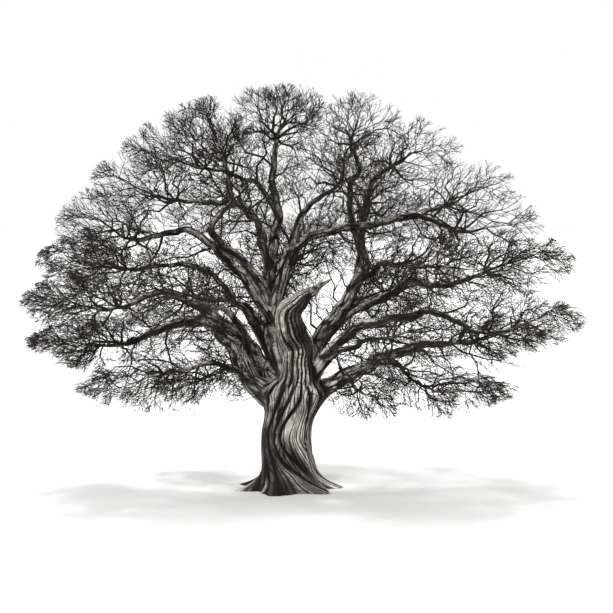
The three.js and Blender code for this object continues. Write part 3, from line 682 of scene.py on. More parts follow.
def make_limbs():
    """Every limb with its path, worked out as the model does."""
    limbs = {"trunk": {"points": trunk_axis(trunk_heights())}}
    for index, sizes in enumerate([FRONT_STEM, *BOUGHS], start=1):
        parent = limbs[sizes["parent"]]
        if "rise" in sizes:
            start = trunk_axis(sizes["rise"])
        else:
            start = along(parent["points"], sizes["share"])
        curve = smooth_path([start, *sizes["elbows"], sizes["tip"]])
        length = path_length(curve)
        steps = max(round(length / LIMB_STEP), MIN_LIMB_STEPS)
        points = wander(even_path(curve, steps), child_seed(index, WANDER_SEED))
        limbs[sizes["name"]] = dict(sizes, index=index, points=points, length=length)
    return limbs


def first_bough(limbs, name):
    """The name of the bough by which a limb is joined to the trunk."""
    while limbs[name]["parent"] != "trunk":
        name = limbs[name]["parent"]
    return name


# The space of a mass: its own ellipsoid, as far as that is nearer in proportion than any other's

def make_masses(limbs):
    masses = []
    for limb in limbs.values():
        if "centre" in limb:
            mass = {"limb": limb, "centre": np.array(limb["centre"]), "reach": np.array(limb["reach"]),
                    "pointed": limb.get("pointed", 0.0), "side": np.sign(limb["centre"][0]),
                    "seed": int(child_seed(limb["index"], MASS_SEED)), "name": limb["name"] + "_twigs"}
            mass["stem"], mass["stem_radii"] = make_stem(mass)
            masses.append(mass)
    return masses


def make_stem(mass):
    """The path of a mass's stem and its radii, on from its bough's tip and past the middle of the mass."""
    limb = mass["limb"]
    tip = limb["points"][-1]
    heading = heading_at(limb["points"], 1)
    start = tip + heading * GAP
    end = mass["centre"] + (mass["centre"] - tip) * STEM_BEYOND_CENTRE
    end[2] += STEM_LIFT * mass["reach"][2]
    straight_on = start + heading * np.linalg.norm(end - start) * STEM_STRAIGHT_SHARE
    elbow = (straight_on + start + (end - start) * STEM_ELBOW_SHARE) / 2
    curve = even_path(smooth_path([start, elbow, end]), STEM_STEPS)
    points = wander(curve, child_seed(mass["seed"], STEM_SEED))
    thick = float(limb_radius(limb["radii"], limb["length"], 1.0))
    share = np.linspace(0, 1, len(points)) ** STEM_TAPER_POWER
    return points, thick + (STEM_END_RADIUS - thick) * share


class Spaces:
    """The spaces of all masses together, and the limbs and stems that twigs keep clear of."""

    def __init__(self, masses, limbs):
        self.centres = np.array([mass["centre"] for mass in masses])
        self.reaches = np.array([mass["reach"] for mass in masses])
        self.pointed = np.array([mass["pointed"] * mass["side"] for mass in masses])
        starts, ends, radii, owners = [], [], [], []
        for limb in limbs.values():
            if "radii" in limb:
                points = limb["points"]
                share = np.linspace(0, 1, len(points))[:-1]
                starts.append(points[:-1])
                ends.append(points[1:])
                radii.append(girth(limb, share))
                owners.append(np.full(len(points) - 1, -limb["index"]))
        for number, mass in enumerate(masses):
            starts.append(mass["stem"][:-1])
            ends.append(mass["stem"][1:])
            radii.append(mass["stem_radii"][:-1])
            owners.append(np.full(len(mass["stem"]) - 1, number))
        self.starts, self.ends = np.vstack(starts), np.vstack(ends)
        self.radii, self.owners = np.concatenate(radii), np.concatenate(owners)

    def inside(self, number, places, margin):
        """Whether each place lies in the space of one mass.

        A margin below zero lets it reach into the next mass, and into the valleys along the crown's top.
        """
        offset = (places[:, None] - self.centres) / self.reaches
        offset[..., 2] *= 1 + np.maximum(offset[..., 0] * self.pointed, 0)
        depth = np.linalg.norm(offset, axis=2)
        own = depth[:, number].copy()
        crowding = np.exp((1 - depth) / VALLEY_SOFTNESS).sum(axis=1)
        in_valley = (margin < 0) & (crowding > 1) & (places[:, 2] > VALLEY_LOWEST)
        depth[:, number] = np.inf
        in_box = np.all((places > BOX_LOW) & (places < BOX_HIGH), axis=1)
        return ((own <= 1) | in_valley) & (depth.min(axis=1) > own + margin) & in_box

    def near(self, number):
        """The stretches of limb and stem that a mass's twigs could meet."""
        middle = (self.starts + self.ends) / 2
        far = np.linalg.norm(middle - self.centres[number], axis=1)
        far -= np.linalg.norm(self.ends - middle, axis=1)
        return self.chosen((far < self.reaches[number].max() + NEAR_MARGIN) & (self.owners != number))

    def beside(self, limb):
        """The stretches of all other limbs and stems that a limb's sprays could meet."""
        middle = (self.starts + self.ends) / 2
        far = np.abs(middle - limb["points"].mean(axis=0)).max(axis=1)
        return self.chosen((far < limb["length"]) & (self.owners != -limb["index"]))

    def chosen(self, rows):
        return self.starts[rows], self.ends[rows], self.radii[rows]

    def clear(self, near, places, radii):
        """Whether each place keeps clear of the limbs and stems nearby."""
        starts, ends, limb_radii = near
        if len(starts) == 0:
            return np.ones(len(places), dtype=bool)
        line = ends - starts
        offset = places[:, None] - starts
        share = np.clip(dot(offset, line) / dot(line, line), 0, 1)
        gap = np.linalg.norm(offset - line * share[..., None], axis=2) - limb_radii
        return gap.min(axis=1) > radii + TWIG_TO_LIMB


# Twigs. A set of them is a dictionary of arrays: paths (n, steps + 1, 3), radii and seeds

def side_directions(headings):
    """Two directions across each heading."""
    up = np.where(np.abs(headings[:, 2:]) < STEEP, [[0.0, 0, 1]], [[1.0, 0, 0]])
    across = unit(np.cross(headings, up))
    return across, np.cross(headings, across)


def tilted(headings, tilt, turn):
    """Each heading tilted by one angle, towards the side that another angle says."""
    across, aside = side_directions(headings)
    way = headings * np.cos(tilt)[:, None]
    way += across * (np.sin(tilt) * np.cos(turn))[:, None]
    way += aside * (np.sin(tilt) * np.sin(turn))[:, None]
    return way


def crooked(starts, ends, seeds, steps):
    """Paths from starts to ends that are pushed aside a little at every step."""
    chord = ends - starts
    length = np.linalg.norm(chord, axis=1)[:, None]
    across, aside = side_directions(unit(chord))
    share = np.linspace(0, 1, steps + 1)
    paths = starts[:, None] + chord[:, None] * share[None, :, None]
    for k in range(1, steps):
        push = (draw(seeds, PUSH_DRAW + 2 * k) - 0.5)[:, None]
        lift = (draw(seeds, LIFT_DRAW + 2 * k) - 0.5)[:, None]
        paths[:, k] += 2 * CROOK * length * (across * push + aside * lift)
    return paths


def along_all(paths, share):
    """The place and the heading at a share of each path."""
    steps = paths.shape[1] - 1
    place = np.clip(share, 0, 1) * steps
    index = np.minimum(place.astype(int), steps - 1)
    rows = np.arange(len(paths))
    step = paths[rows, index + 1] - paths[rows, index]
    return paths[rows, index] + step * (place - index)[:, None], unit(step)


def kept_twigs(spaces, near, number, starts, ends, radii, seeds, steps, margin=SPACE_MARGIN,
               shortest=SHORTEST_SHARE):
    """The twigs that fit, each shortened until it keeps to its space and clear of the limbs.

    A spray has no mass's number. It only stays clear of the limbs and well above the ground.
    """
    share = np.zeros(len(starts))
    pending = np.arange(len(starts))
    tries = round((1 - shortest) / SHORTENING) + 1
    for attempt in range(tries):
        if len(pending) == 0:
            break
        part = 1 - SHORTENING * attempt
        fits = np.ones(len(pending), dtype=bool)
        for tested in TESTED_SHARES:
            rows = pending[fits]
            places = starts[rows] + (ends[rows] - starts[rows]) * part * tested
            good = places[:, 2] > SPRAY_LOWEST if number is None else spaces.inside(number, places, margin)
            good[good] = spaces.clear(near, places[good], radii[rows][good])
            fits[fits] = good
        share[pending[fits]] = part
        pending = pending[~fits]
    kept = share > 0
    ends = starts + (ends - starts) * share[:, None]
    paths = crooked(starts[kept], ends[kept], seeds[kept], steps)
    return {"paths": paths, "radii": radii[kept], "seeds": seeds[kept]}


def arched(branches):
    """The same branches, bent up in the middle by a share of their level reach."""
    paths = branches["paths"]
    level_reach = np.linalg.norm((paths[:, -1] - paths[:, 0])[:, :2], axis=1)[:, None]
    paths[:, :, 2] += BRANCH_ARCH * level_reach * np.sin(math.pi * np.linspace(0, 1, paths.shape[1]))
    return branches


def make_branches(mass, number, spaces, near, count, seed, pole, lowest, spread):
    """Branches that leave the stem for places spread evenly over the outside of the mass.

    The places lie round a pole, down to the lowest one's share of the way from the middle to the pole.
    """
    stem = mass["stem"]
    start = stem[0]
    length = np.linalg.norm(stem[-1] - start)
    axis = (stem[-1] - start) / length
    spin = 2 * math.pi * float(draw(seed, SPIN_DRAW))
    index = np.arange(count)
    seeds = child_seed(seed, index)
    rise = 1 - (1 - lowest) * (index + POLE_OFFSET) / (count - 1 + 2 * POLE_OFFSET)
    turn = (spin + GOLDEN_ANGLE * index)[:, None]
    ring = np.sqrt(1 - rise**2)[:, None]
    if pole is UP:
        first, second = np.array([1.0, 0, 0]), np.array([0, 1.0, 0])
    else:
        first, second = (side[0] for side in side_directions(pole[None]))
    towards = ring * (first * np.cos(turn) + second * np.sin(turn)) + pole * rise[:, None]
    towards[:, 2] /= 1 + mass["pointed"] * np.maximum(towards[:, 0] * mass["side"], 0)
    targets = mass["centre"] + towards * mass["reach"] * BRANCH_REACH
    ahead = dot(targets - start, axis)
    aside = np.sqrt(np.maximum(dot(targets - start, targets - start) - ahead**2, 0))
    first_share = BRANCH_FIRST_SHARE + spread * draw(seeds, START_DRAW)
    share = np.clip((ahead - BRANCH_SLANT * aside) / length, first_share, BRANCH_LAST_SHARE)
    starts = np.array([along(stem, part) for part in share])
    stem_radii = np.interp(share, np.linspace(0, 1, len(stem)), mass["stem_radii"])
    radii = np.maximum(BRANCH_THICKNESS * stem_radii, np.minimum(BRANCH_MIN_RADIUS, stem_radii))
    branches = kept_twigs(spaces, near, number, starts, targets, radii, seeds, BRANCH_STEPS)
    return arched(branches)


def make_twigs(parents, number, spaces, near, level):
    """Twigs that leave each parent all round it, at a tilt, and lean away from the middle of the crown."""
    count = level["count"]
    which = np.tile(np.arange(count), len(parents["radii"]))
    rows = np.repeat(np.arange(len(parents["radii"])), count)
    paths = parents["paths"][rows]
    seeds = child_seed(parents["seeds"][rows], which)
    share = TWIG_FIRST_SHARE + TWIG_SPAN * (which + draw(seeds, START_DRAW)) / count
    starts, headings = along_all(paths, share)
    turn = GOLDEN_ANGLE * which + 2 * math.pi * draw(parents["seeds"][rows], TURN_DRAW)
    way = tilted(headings, level["tilt"] * varied(seeds, TILT_DRAW), turn)
    way = unit(way + TWIG_OUTWARD * unit(starts - CROWN_MIDDLE))
    parent_length = np.linalg.norm(paths[:, -1] - paths[:, 0], axis=1)
    length = parent_length * TWIG_LENGTH * (TWIG_LENGTH_FALL - share) * varied(seeds, LENGTH_DRAW)
    radii = np.clip(TWIG_THICKNESS * parents["radii"][rows] * (1 - share), level["thinnest"], level["radius"])
    ends = starts + way * length[:, None]
    return kept_twigs(spaces, near, number, starts, ends, radii, seeds, level["steps"], TWIG_MARGIN,
                      SHORTEST_TWIG_SHARE)


def joined(sets):
    return {key: np.concatenate([one[key] for one in sets]) for key in sets[0]}


def grow_mass(mass, number, spaces):
    """All the twigs of a mass, level by level: branches, and three levels of ever finer twigs."""
    near = spaces.near(number)
    own = make_branches(mass, number, spaces, near, BRANCH_COUNT, mass["seed"], UP, -1,
                        BRANCH_FIRST_SPREAD)
    filler_seed = int(child_seed(mass["seed"], FILLER_SEED))
    outward = unit(mass["centre"] - CROWN_MIDDLE)
    density = mass["limb"].get("density", 1.0)
    filler_count = round(FILLER_COUNT * density * (1 - FEWER_FILLERS * abs(outward[1])))
    fillers = make_branches(mass, number, spaces, near, filler_count, filler_seed, outward, FILLER_LOWEST,
                            FILLER_FIRST_SPREAD)
    fillers["radii"] = fillers["radii"] * FILLER_THICKNESS
    branches = joined([own, fillers])
    branches["radii"] = branches["radii"] * BRANCH_FULLNESS
    fewer = (1 - FEWER_TWIGS * abs(outward[1])) * density**DENSITY_POWER
    levels = [branches]
    for level in TWIG_LEVELS:
        thinned = dict(level, count=round(level["count"] * fewer))
        levels.append(make_twigs(levels[-1], number, spaces, near, thinned))
    return levels


def grow_sprays(limb, spaces):
    """Sprays along a bough's outer part, level by level: small branches, and two levels of twigs."""
    near = spaces.beside(limb)
    span = 1 - SPRAY_FIRST_SHARE
    count = max(round(limb["length"] * span * limb.get("sprays", 1.0) / SPRAY_SPACING), LEAST_SPRAYS)
    which = np.arange(count)
    seed = child_seed(limb["index"], SPRAY_SEED)
    seeds = child_seed(seed, which)
    share = SPRAY_FIRST_SHARE + span * (which + draw(seeds, START_DRAW)) / count
    paths = np.repeat(limb["points"][None], count, axis=0)
    starts, headings = along_all(paths, share)
    turn = GOLDEN_ANGLE * which + 2 * math.pi * draw(seed, TURN_DRAW)
    way = unit(tilted(headings, SPRAY_TILT * varied(seeds, TILT_DRAW), turn) + (0, 0, SPRAY_LIFT))
    size = SMALLEST_SPRAY + (LARGEST_SPRAY - SMALLEST_SPRAY) * draw(seeds, LENGTH_DRAW) ** 2
    ends = starts + way * (SPRAY_LENGTH * size)[:, None]
    radii = SPRAY_RADIUS * size**SPRAY_GIRTH_POWER
    levels = [kept_twigs(spaces, near, None, starts, ends, radii, seeds, SPRAY_STEPS)]
    for level in SPRAY_LEVELS:
        levels.append(make_twigs(levels[-1], None, spaces, near, level))
    return levels


# Meshes from arrays

def tubes(paths, radii, sides):
    """Closed, tapering tubes along many paths at once: their vertices and triangles."""
    count, places = paths.shape[:2]
    headings = unit(paths[:, -1] - paths[:, 0])
    across, aside = side_directions(headings)
    circle = circles(across, aside, even_angles(sides))
    share = np.linspace(0, 1, places)[:-1]
    width = radii[:, None] * (1 - share**TWIG_TAPER_POWER)
    rings = paths[:, :-1, None] + circle[:, None] * width[:, :, None, None]
    vertices = np.concatenate([rings.reshape(count, -1, 3), paths[:, -1:]], axis=1)
    triangles = []
    for ring in range(places - 2):
        for side in range(sides):
            low, next_low = ring * sides + side, ring * sides + (side + 1) % sides
            triangles.append((low, next_low, next_low + sides))
            triangles.append((low, next_low + sides, low + sides))
    last, tip = (places - 2) * sides, (places - 1) * sides
    for side in range(sides):
        triangles.append((last + side, last + (side + 1) % sides, tip))
    for side in range(1, sides - 1):
        triangles.append((0, side + 1, side))
    offsets = np.arange(count)[:, None, None] * (tip + 1)
    faces = np.array(triangles)[None] + offsets
    return vertices.reshape(-1, 3), faces.reshape(-1, 3)


def stacked(parts):
    """Several (vertices, triangles) joined into one."""
    vertices, triangles, total = [], [], 0
    for points, faces in parts:
        vertices.append(points)
        triangles.append(faces + total)
        total += len(points)
    return np.vstack(vertices), np.vstack(triangles)


def make_mesh(name, vertices, faces):
    """A mesh object from arrays. Faces have three or four corners each."""
    mesh = bpy.data.meshes.new(name)
    corners = faces.shape[1]
    mesh.vertices.add(len(vertices))
    mesh.vertices.foreach_set("co", np.ascontiguousarray(vertices, dtype=np.float32).ravel())
    mesh.loops.add(faces.size)
    mesh.loops.foreach_set("vertex_index", np.ascontiguousarray(faces, dtype=np.int32).ravel())
    mesh.polygons.add(len(faces))
    mesh.polygons.foreach_set("loop_start", np.arange(0, faces.size, corners, dtype=np.int32))
    mesh.polygons.foreach_set("use_smooth", np.ones(len(faces), dtype=bool))
    mesh.update(calc_edges=True)
    piece = bpy.data.objects.new(name, mesh)
    bpy.context.scene.collection.objects.link(piece)
    return piece


def set_attribute(piece, name, values):
    attribute = piece.data.attributes.new(name, "FLOAT", "POINT")
    attribute.data.foreach_set("value", np.ascontiguousarray(values, dtype=np.float32))


# Bark relief: wide ridges and narrow furrows that follow each limb's length

def furrowed(noise):
    """Heights from 0 in a narrow furrow to 1 on a wide ridge."""
    return smoothstep(np.abs(2 * noise - 1), 0.0, RIDGE_SHOULDER)


def limb_relief(number, travelled, angle, radius):
    """The height of a limb's bark, from 0 to 1, and how deep its furrows are."""
    flat = np.stack([radius * np.cos(angle), radius * np.sin(angle), travelled / RIDGE_STRETCH], axis=1)
    sway = lattice_noise(flat / (RIDGE_SWAY_WIDTH * RIDGE_WIDTH) + LIMB_SHIFTS["sway"] * number)
    sway = RIDGE_SWAY * sway[:, None]
    coarse = furrowed(lattice_noise(flat / RIDGE_WIDTH + LIMB_SHIFTS["coarse"] * number + sway))
    fine = furrowed(lattice_noise(flat / FINE_RIDGE_WIDTH + LIMB_SHIFTS["fine"] * number + sway))
    return COARSE_SHARE * coarse + FINE_SHARE * fine, np.minimum(RELIEF_SHARE * radius, RELIEF_MOST)


def cords(turned, height, count, stretch, shift):
    """Heights of cords that run side by side up the trunk, from 0 in the furrows to 1 on their backs."""
    sway = patches(turned, height, (count / (4 * math.pi), stretch, shift)) - 0.5
    phase = count * turned / (2 * math.pi) + CORD_SWAY * sway
    return smoothstep(np.abs(np.sin(math.pi * phase)), CORD_FURROW, CORD_SHOULDER)


def patches(turned, height, pattern):
    """Noise from 0 to 1 over the trunk, with patches of one count round it and one length up it."""
    count, length, shift = pattern
    circle = np.column_stack([np.cos(turned), np.sin(turned)])
    return lattice_noise(np.column_stack([circle * count, height / length]) + shift)


def trunk_relief(height, angle):
    """The height of the trunk's bark: long cords that sweep to the right into the roots."""
    below = np.maximum(WAIST_HEIGHT - height, 0) ** ROOT_SWEEP_POWER
    turned = angle - ROOT_SWEEP * below * (0.5 + 0.5 * np.cos(angle + ROOT_SWEEP_SIDE))
    coarse = cords(turned, height, CORD_COUNT, CORD_STRETCH, CORD_SHIFTS["coarse"])
    fine = cords(turned, height, FINE_CORD_COUNT, CORD_STRETCH / FINE_CORD_SHORTENING, CORD_SHIFTS["fine"])
    bands = smoothstep(patches(turned, height, BANDS), *BAND_EDGES)
    bark = coarse * (1 - FINE_CORD_SHARE + FINE_CORD_SHARE * fine)
    bark = bark * (BREAK_UP_LEVELS[0] + BREAK_UP_LEVELS[1] * patches(turned, height, BREAK_UP))
    bark = bark * (BAND_LEVELS[0] + BAND_LEVELS[1] * bands)
    bark = bark + FLAKE_SIZE * (patches(turned, height, FLAKES) - 0.5)
    return np.clip(bark, 0, 1), TRUNK_RELIEF * (1 + FOOT_RELIEF * np.exp(-height / ROOT_HEIGHT))


# Fine lines: a limb's path made smooth and more crooked, with its radii, its length so far and its frames

def fine_line(limb, stem, stem_radii):
    """A limb with the stem of its mass, if it has one, as one fine line."""
    number = limb["index"]
    points = limb["points"]
    radii = girth(limb, np.linspace(0, 1, len(points)))
    if stem is not None:
        points = np.vstack([points, stem[1:]])
        radii = np.concatenate([radii, stem_radii[1:]])
    curve = smooth_path(points)
    spread = np.interp(np.linspace(0, len(points) - 1, len(curve)), np.arange(len(points)), radii)
    steps = max(round(path_length(curve) / FINE_STEP), MIN_FINE_STEPS)
    travelled = length_so_far(curve)
    wanted = np.linspace(0, travelled[-1], steps + 1)
    line = even_path(curve, steps)
    line = wander(line, child_seed(number, FINE_WANDER_SEED), FINE_WANDER, FINE_WAVE)
    line = wander(line, child_seed(number, FINE_WANDER_SEED + 1), FINE_WANDER / FINEST_SHARE,
                  FINE_WAVE / FINEST_SHARE)
    lump_places = np.column_stack([wanted / LUMP_LENGTH, wanted * 0 + number, wanted * 0])
    lumps = 1 + LUMP_SIZE * (lattice_noise(lump_places) - 0.5)
    across, aside = turned_frames(line)
    return {"number": number, "points": line, "radii": np.interp(wanted, travelled, spread) * lumps,
            "travelled": wanted, "across": across, "aside": aside}


def near_line(line, places):
    """What a line is like at its nearest point to each place.

    The way out to the place, the distance, the length so far, the angle round the line and the radius.
    """
    starts, steps = line["points"][:-1], np.diff(line["points"], axis=0)
    best = np.full(len(places), np.inf)
    index = np.zeros(len(places), dtype=int)
    part = np.zeros(len(places))
    squares = dot(steps, steps)
    for k in range(len(steps)):
        offset = places - starts[k]
        share = np.clip(offset @ steps[k] / squares[k], 0, 1)
        gap = offset - share[:, None] * steps[k]
        square = dot(gap, gap)
        closer = square < best
        best[closer] = square[closer]
        index[closer] = k
        part[closer] = share[closer]
    nearest = starts[index] + steps[index] * part[:, None]
    out = places - nearest

    def blend(key):
        values = line[key]
        share = part if values.ndim == 1 else part[:, None]
        return values[index] + (values[index + 1] - values[index]) * share

    angle = np.arctan2(dot(out, blend("aside")), dot(out, blend("across")))
    return unit(out), np.linalg.norm(out, axis=1), blend("travelled"), angle, blend("radii")


def level_angle(line, places):
    """The angle round a rising line, measured level, so that cords run on where the line bends."""
    heights = np.maximum.accumulate(line["points"][:, 2])
    middle_x = np.interp(places[:, 2], heights, line["points"][:, 0])
    middle_y = np.interp(places[:, 2], heights, line["points"][:, 1])
    return np.arctan2(places[:, 1] - middle_y, places[:, 0] - middle_x)


# The network: trunk top, front stem and the thick parts of all limbs, melted together at their forks

def network_line(line):
    """The thick first part of a line, and where it ends.

    It shrinks at its end, so that it hides inside the bough tube that goes on.
    """
    thick = np.nonzero(line["radii"] > NETWORK_RADIUS)[0]
    last = max(thick[-1] if len(thick) else 0, round(FORK_STRETCH / FINE_STEP))
    last = min(last, len(line["points"]) - 1)
    part = {key: value if key == "number" else value[:last + 1] for key, value in line.items()}
    end = part["travelled"][-1]
    shrink = 1 - (1 - HIDDEN_SHARE) * smoothstep(part["travelled"], end - JOIN_LENGTH, end)
    part["radii"] = part["radii"] * shrink
    return part, end


def trunk_field(places):
    """The way out of the upper trunk, the distance from it and the angle round it."""
    height = places[:, 2]
    out = places - trunk_axis(height)
    across = np.linalg.norm(out[:, :2], axis=1)
    angle = np.arctan2(out[:, 1], out[:, 0])
    low = np.minimum(height, FORK_HEIGHT)
    hidden = 1 - (1 - HIDDEN_SHARE) * smoothstep(TRUNK_JOIN_HEIGHT - height, 0, JOIN_LENGTH)
    radius = trunk_radius(low, angle) * hidden
    above = np.maximum(height - FORK_HEIGHT, 0) / CROTCH_RISE
    ratio = np.hypot(across / radius, above)
    distance = (ratio - 1) * np.where(above > 0, np.minimum(radius, CROTCH_RISE), radius)
    way = unit(np.column_stack([out[:, :2] / radius[:, None] ** 2, above / CROTCH_RISE]))
    foot = TRUNK_JOIN_HEIGHT - JOIN_LENGTH - height
    under = foot > distance
    distance = np.where(under, foot, distance)
    way[under] = (0, 0, -1)
    return way, distance, angle


def melted_field(parts, places):
    """Distance from the melted network, the way out of it, the nearest limb, and a record for each limb.

    A record has a limb's number and the rows of the places that it reaches, and for each of those the
    distance, the angle, the length so far and the radius.
    """
    at_forks = smoothstep(places[:, 2], *FILLET_RISE) * (1 - smoothstep(places[:, 2], *FILLET_FALL))
    fillet = FILLET + (LOW_FILLET - FILLET) * at_forks
    sunk = FOOT_SINK * (1 - smoothstep(places[:, 2], *FOOT_SINK_RISE))
    way, distance, angle = trunk_field(places)
    total = np.exp(-np.clip(distance, -FIELD_REACH, FIELD_REACH) / fillet)
    direction = way * total[:, None]
    nearest = distance.copy()
    owner = np.full(len(places), TRUNK_NUMBER)
    everywhere = np.arange(len(places))
    radius = np.full(len(places), WAIST_RADIUS)
    records = [(TRUNK_NUMBER, everywhere, distance, angle, places[:, 2], radius)]
    for line in parts:
        low = line["points"].min(axis=0) - line["radii"].max() - FIELD_REACH
        high = line["points"].max(axis=0) + line["radii"].max() + FIELD_REACH
        rows = np.nonzero(np.all((places > low) & (places < high), axis=1))[0]
        if len(rows) == 0:
            continue
        out, gap, travelled, angle, radius = near_line(line, places[rows])
        if line["number"] == STEM_NUMBER:
            angle = level_angle(line, places[rows])
        distance = gap - radius + sunk[rows]
        weight = np.exp(-np.clip(distance, -FIELD_REACH, FIELD_REACH) / fillet[rows])
        total[rows] += weight
        direction[rows] += out * weight[:, None]
        closer = distance < nearest[rows]
        nearest[rows[closer]] = distance[closer]
        owner[rows[closer]] = line["number"]
        records.append((line["number"], rows, distance, angle, travelled, radius))
    surface = -fillet * np.log(np.maximum(total, LEAST_WEIGHT))
    return surface, unit(direction), owner, records


def melted_bark(places, surface, records):
    """The bark's height, the depth of its furrows and its age, blended from the limbs that meet there."""
    total, height, depth, age = (np.zeros(len(places)) for _ in range(4))
    for number, rows, distance, angle, travelled, radius in records:
        weight = np.exp(-np.clip(distance - surface[rows], 0, 1) / RELIEF_BLEND)
        used = weight > RELIEF_LEAST_WEIGHT
        rows, weight, angle, radius = rows[used], weight[used], angle[used], radius[used]
        if number in (TRUNK_NUMBER, STEM_NUMBER):
            bark, deep = trunk_relief(places[rows, 2], angle)
            deep = np.minimum(deep, RELIEF_SHARE * radius)
        else:
            bark, deep = limb_relief(number, travelled[used], angle, radius)
        total[rows] += weight
        height[rows] += weight * bark
        depth[rows] += weight * deep
        age[rows] += weight * smoothstep(radius, *AGE_RADII)
    return height / total, depth / total, age / total


def solid_tube(line):
    """A plain closed tube along a line, to be melted into the network."""
    circle = circles(line["across"], line["aside"], even_angles(SOLID_SIDES))
    return ring_mesh(line["points"][:, None] + circle * line["radii"][:, None, None])


def ring_mesh(rings, relief=None):
    """Closed triangles over a stack of rings (n, sides, 3), with a middle point at either end.

    Each four-sided field is cut along its evener diagonal, so that slanting cords keep clean edges.
    """
    count, sides = rings.shape[:2]
    vertices = np.vstack([rings.reshape(-1, 3), rings[0].mean(axis=0), rings[-1].mean(axis=0)])
    ring, side = np.meshgrid(np.arange(count - 1), np.arange(sides), indexing="ij")
    low = (ring * sides + side).ravel()
    low_next = (ring * sides + (side + 1) % sides).ravel()
    high, high_next = low + sides, low_next + sides
    turned_cut = np.zeros(len(low), dtype=bool)
    if relief is not None:
        heights = relief.ravel()
        turned_cut = np.abs(heights[low] - heights[high_next]) > np.abs(heights[low_next] - heights[high])
    walls = np.concatenate([np.column_stack([low, low_next, np.where(turned_cut, high, high_next)]),
                            np.column_stack([np.where(turned_cut, low_next, low), high_next, high])])
    edge = np.arange(sides)
    turned = (edge + 1) % sides
    top = (count - 1) * sides
    bottom_cap = np.column_stack([turned, edge, np.full(sides, count * sides)])
    top_cap = np.column_stack([top + edge, top + turned, np.full(sides, count * sides + 1)])
    return vertices, np.vstack([walls, bottom_cap, top_cap])


def ring_places(heights, sides):
    """The angle and the height of each place on a stack of rings."""
    angle = np.tile(even_angles(sides), (len(heights), 1))
    tall = np.repeat(heights[:, None], sides, axis=1)
    return angle, tall


def trunk_rings(radius, angle, tall):
    """Rings round the trunk's axis."""
    return trunk_axis(tall) + np.stack([radius * np.cos(angle), radius * np.sin(angle), 0 * radius], axis=-1)


def add_bark(name, vertices, faces, ridge, age):
    """A piece of bark with the two attributes that its finish reads."""
    piece = make_mesh(name, vertices, faces)
    set_attribute(piece, "ridge", ridge)
    set_attribute(piece, "age", age)
    return piece


def remeshed(piece):
    """One skin of even faces round everything in a piece: its vertices and faces."""
    skin = piece.modifiers.new("skin", "REMESH")
    skin.mode = "VOXEL"
    skin.voxel_size = VOXEL
    graph = bpy.context.evaluated_depsgraph_get()
    result = piece.evaluated_get(graph).to_mesh()
    vertices = np.empty(len(result.vertices) * 3, dtype=np.float32)
    result.vertices.foreach_get("co", vertices)
    faces = np.empty(len(result.loops), dtype=np.int32)
    result.loops.foreach_get("vertex_index", faces)
    vertices, faces = vertices.reshape(-1, 3).astype(float), faces.reshape(-1, 4).copy()
    mesh = piece.data
    bpy.data.objects.remove(piece)
    bpy.data.meshes.remove(mesh)
    return vertices, faces


def solid_trunk():
    """The plain upper trunk with its domed crotch, to be melted into the network."""
    top = FORK_HEIGHT + CROTCH_RISE * NETWORK_TOP_SHARE
    heights = np.linspace(TRUNK_JOIN_HEIGHT - JOIN_LENGTH, top, NETWORK_RINGS)
    angle, tall = ring_places(heights, NETWORK_SIDES)
    low = np.minimum(tall, FORK_HEIGHT)
    dome = np.sqrt(1 - (np.maximum(tall - FORK_HEIGHT, 0) / CROTCH_RISE) ** 2)
    hidden = 1 - (1 - HIDDEN_SHARE) * smoothstep(TRUNK_JOIN_HEIGHT - tall, 0, JOIN_LENGTH)
    return ring_mesh(trunk_rings(trunk_radius(low, angle) * dome * hidden, angle, tall))


def make_network(lines, upper):
    """The melted network in two pieces: the forks with the low boughs, and the leaders with their boughs."""
    parts = [network_line(line)[0] for line in lines]
    solids = [solid_trunk()] + [solid_tube(part) for part in parts]
    vertices, faces = remeshed(make_mesh("raw_network", *stacked(solids)))
    for _ in range(MELT_ROUNDS):
        surface, way, _, _ = melted_field(parts, vertices)
        vertices = vertices - np.clip(surface, -MELT_STEP, MELT_STEP)[:, None] * way
    surface, way, owner, records = melted_field(parts, vertices)
    bark, depth, age = melted_bark(vertices, surface, records)
    vertices = vertices + way * ((bark - RIDGE_LEVEL) * depth)[:, None]
    is_upper = np.isin(owner, upper)[faces].sum(axis=1) > CORNERS_SHARED
    pieces = []
    for name, chosen in (("bark_forks", ~is_upper), ("bark_leaders", is_upper)):
        used, corners = np.unique(faces[chosen], return_inverse=True)
        pieces.append(add_bark(name, vertices[used], corners.reshape(-1, 4), bark[used], age[used]))
    return pieces


def make_trunk_bark():
    """The trunk from its flat cut at the ground up into the network."""
    top = TRUNK_JOIN_HEIGHT + JOIN_LENGTH
    count = round(top / TRUNK_RING_STEP)
    heights = top * (np.arange(count + 1) / count) ** TRUNK_RING_GATHER
    angle, tall = ring_places(heights, TRUNK_SIDES)
    hidden = 1 - (1 - HIDDEN_SHARE) * smoothstep(tall, TRUNK_JOIN_HEIGHT, top)
    bark, depth = (part.reshape(tall.shape) for part in trunk_relief(tall.ravel(), angle.ravel()))
    radius = trunk_radius(tall, angle) * hidden + (bark - RIDGE_LEVEL) * depth
    vertices, triangles = ring_mesh(trunk_rings(radius, angle, tall), bark)
    ridge = np.concatenate([bark.ravel(), [CAP_RIDGE, CAP_RIDGE]])
    return add_bark("bark_trunk", vertices, triangles, ridge, np.ones(len(vertices)))


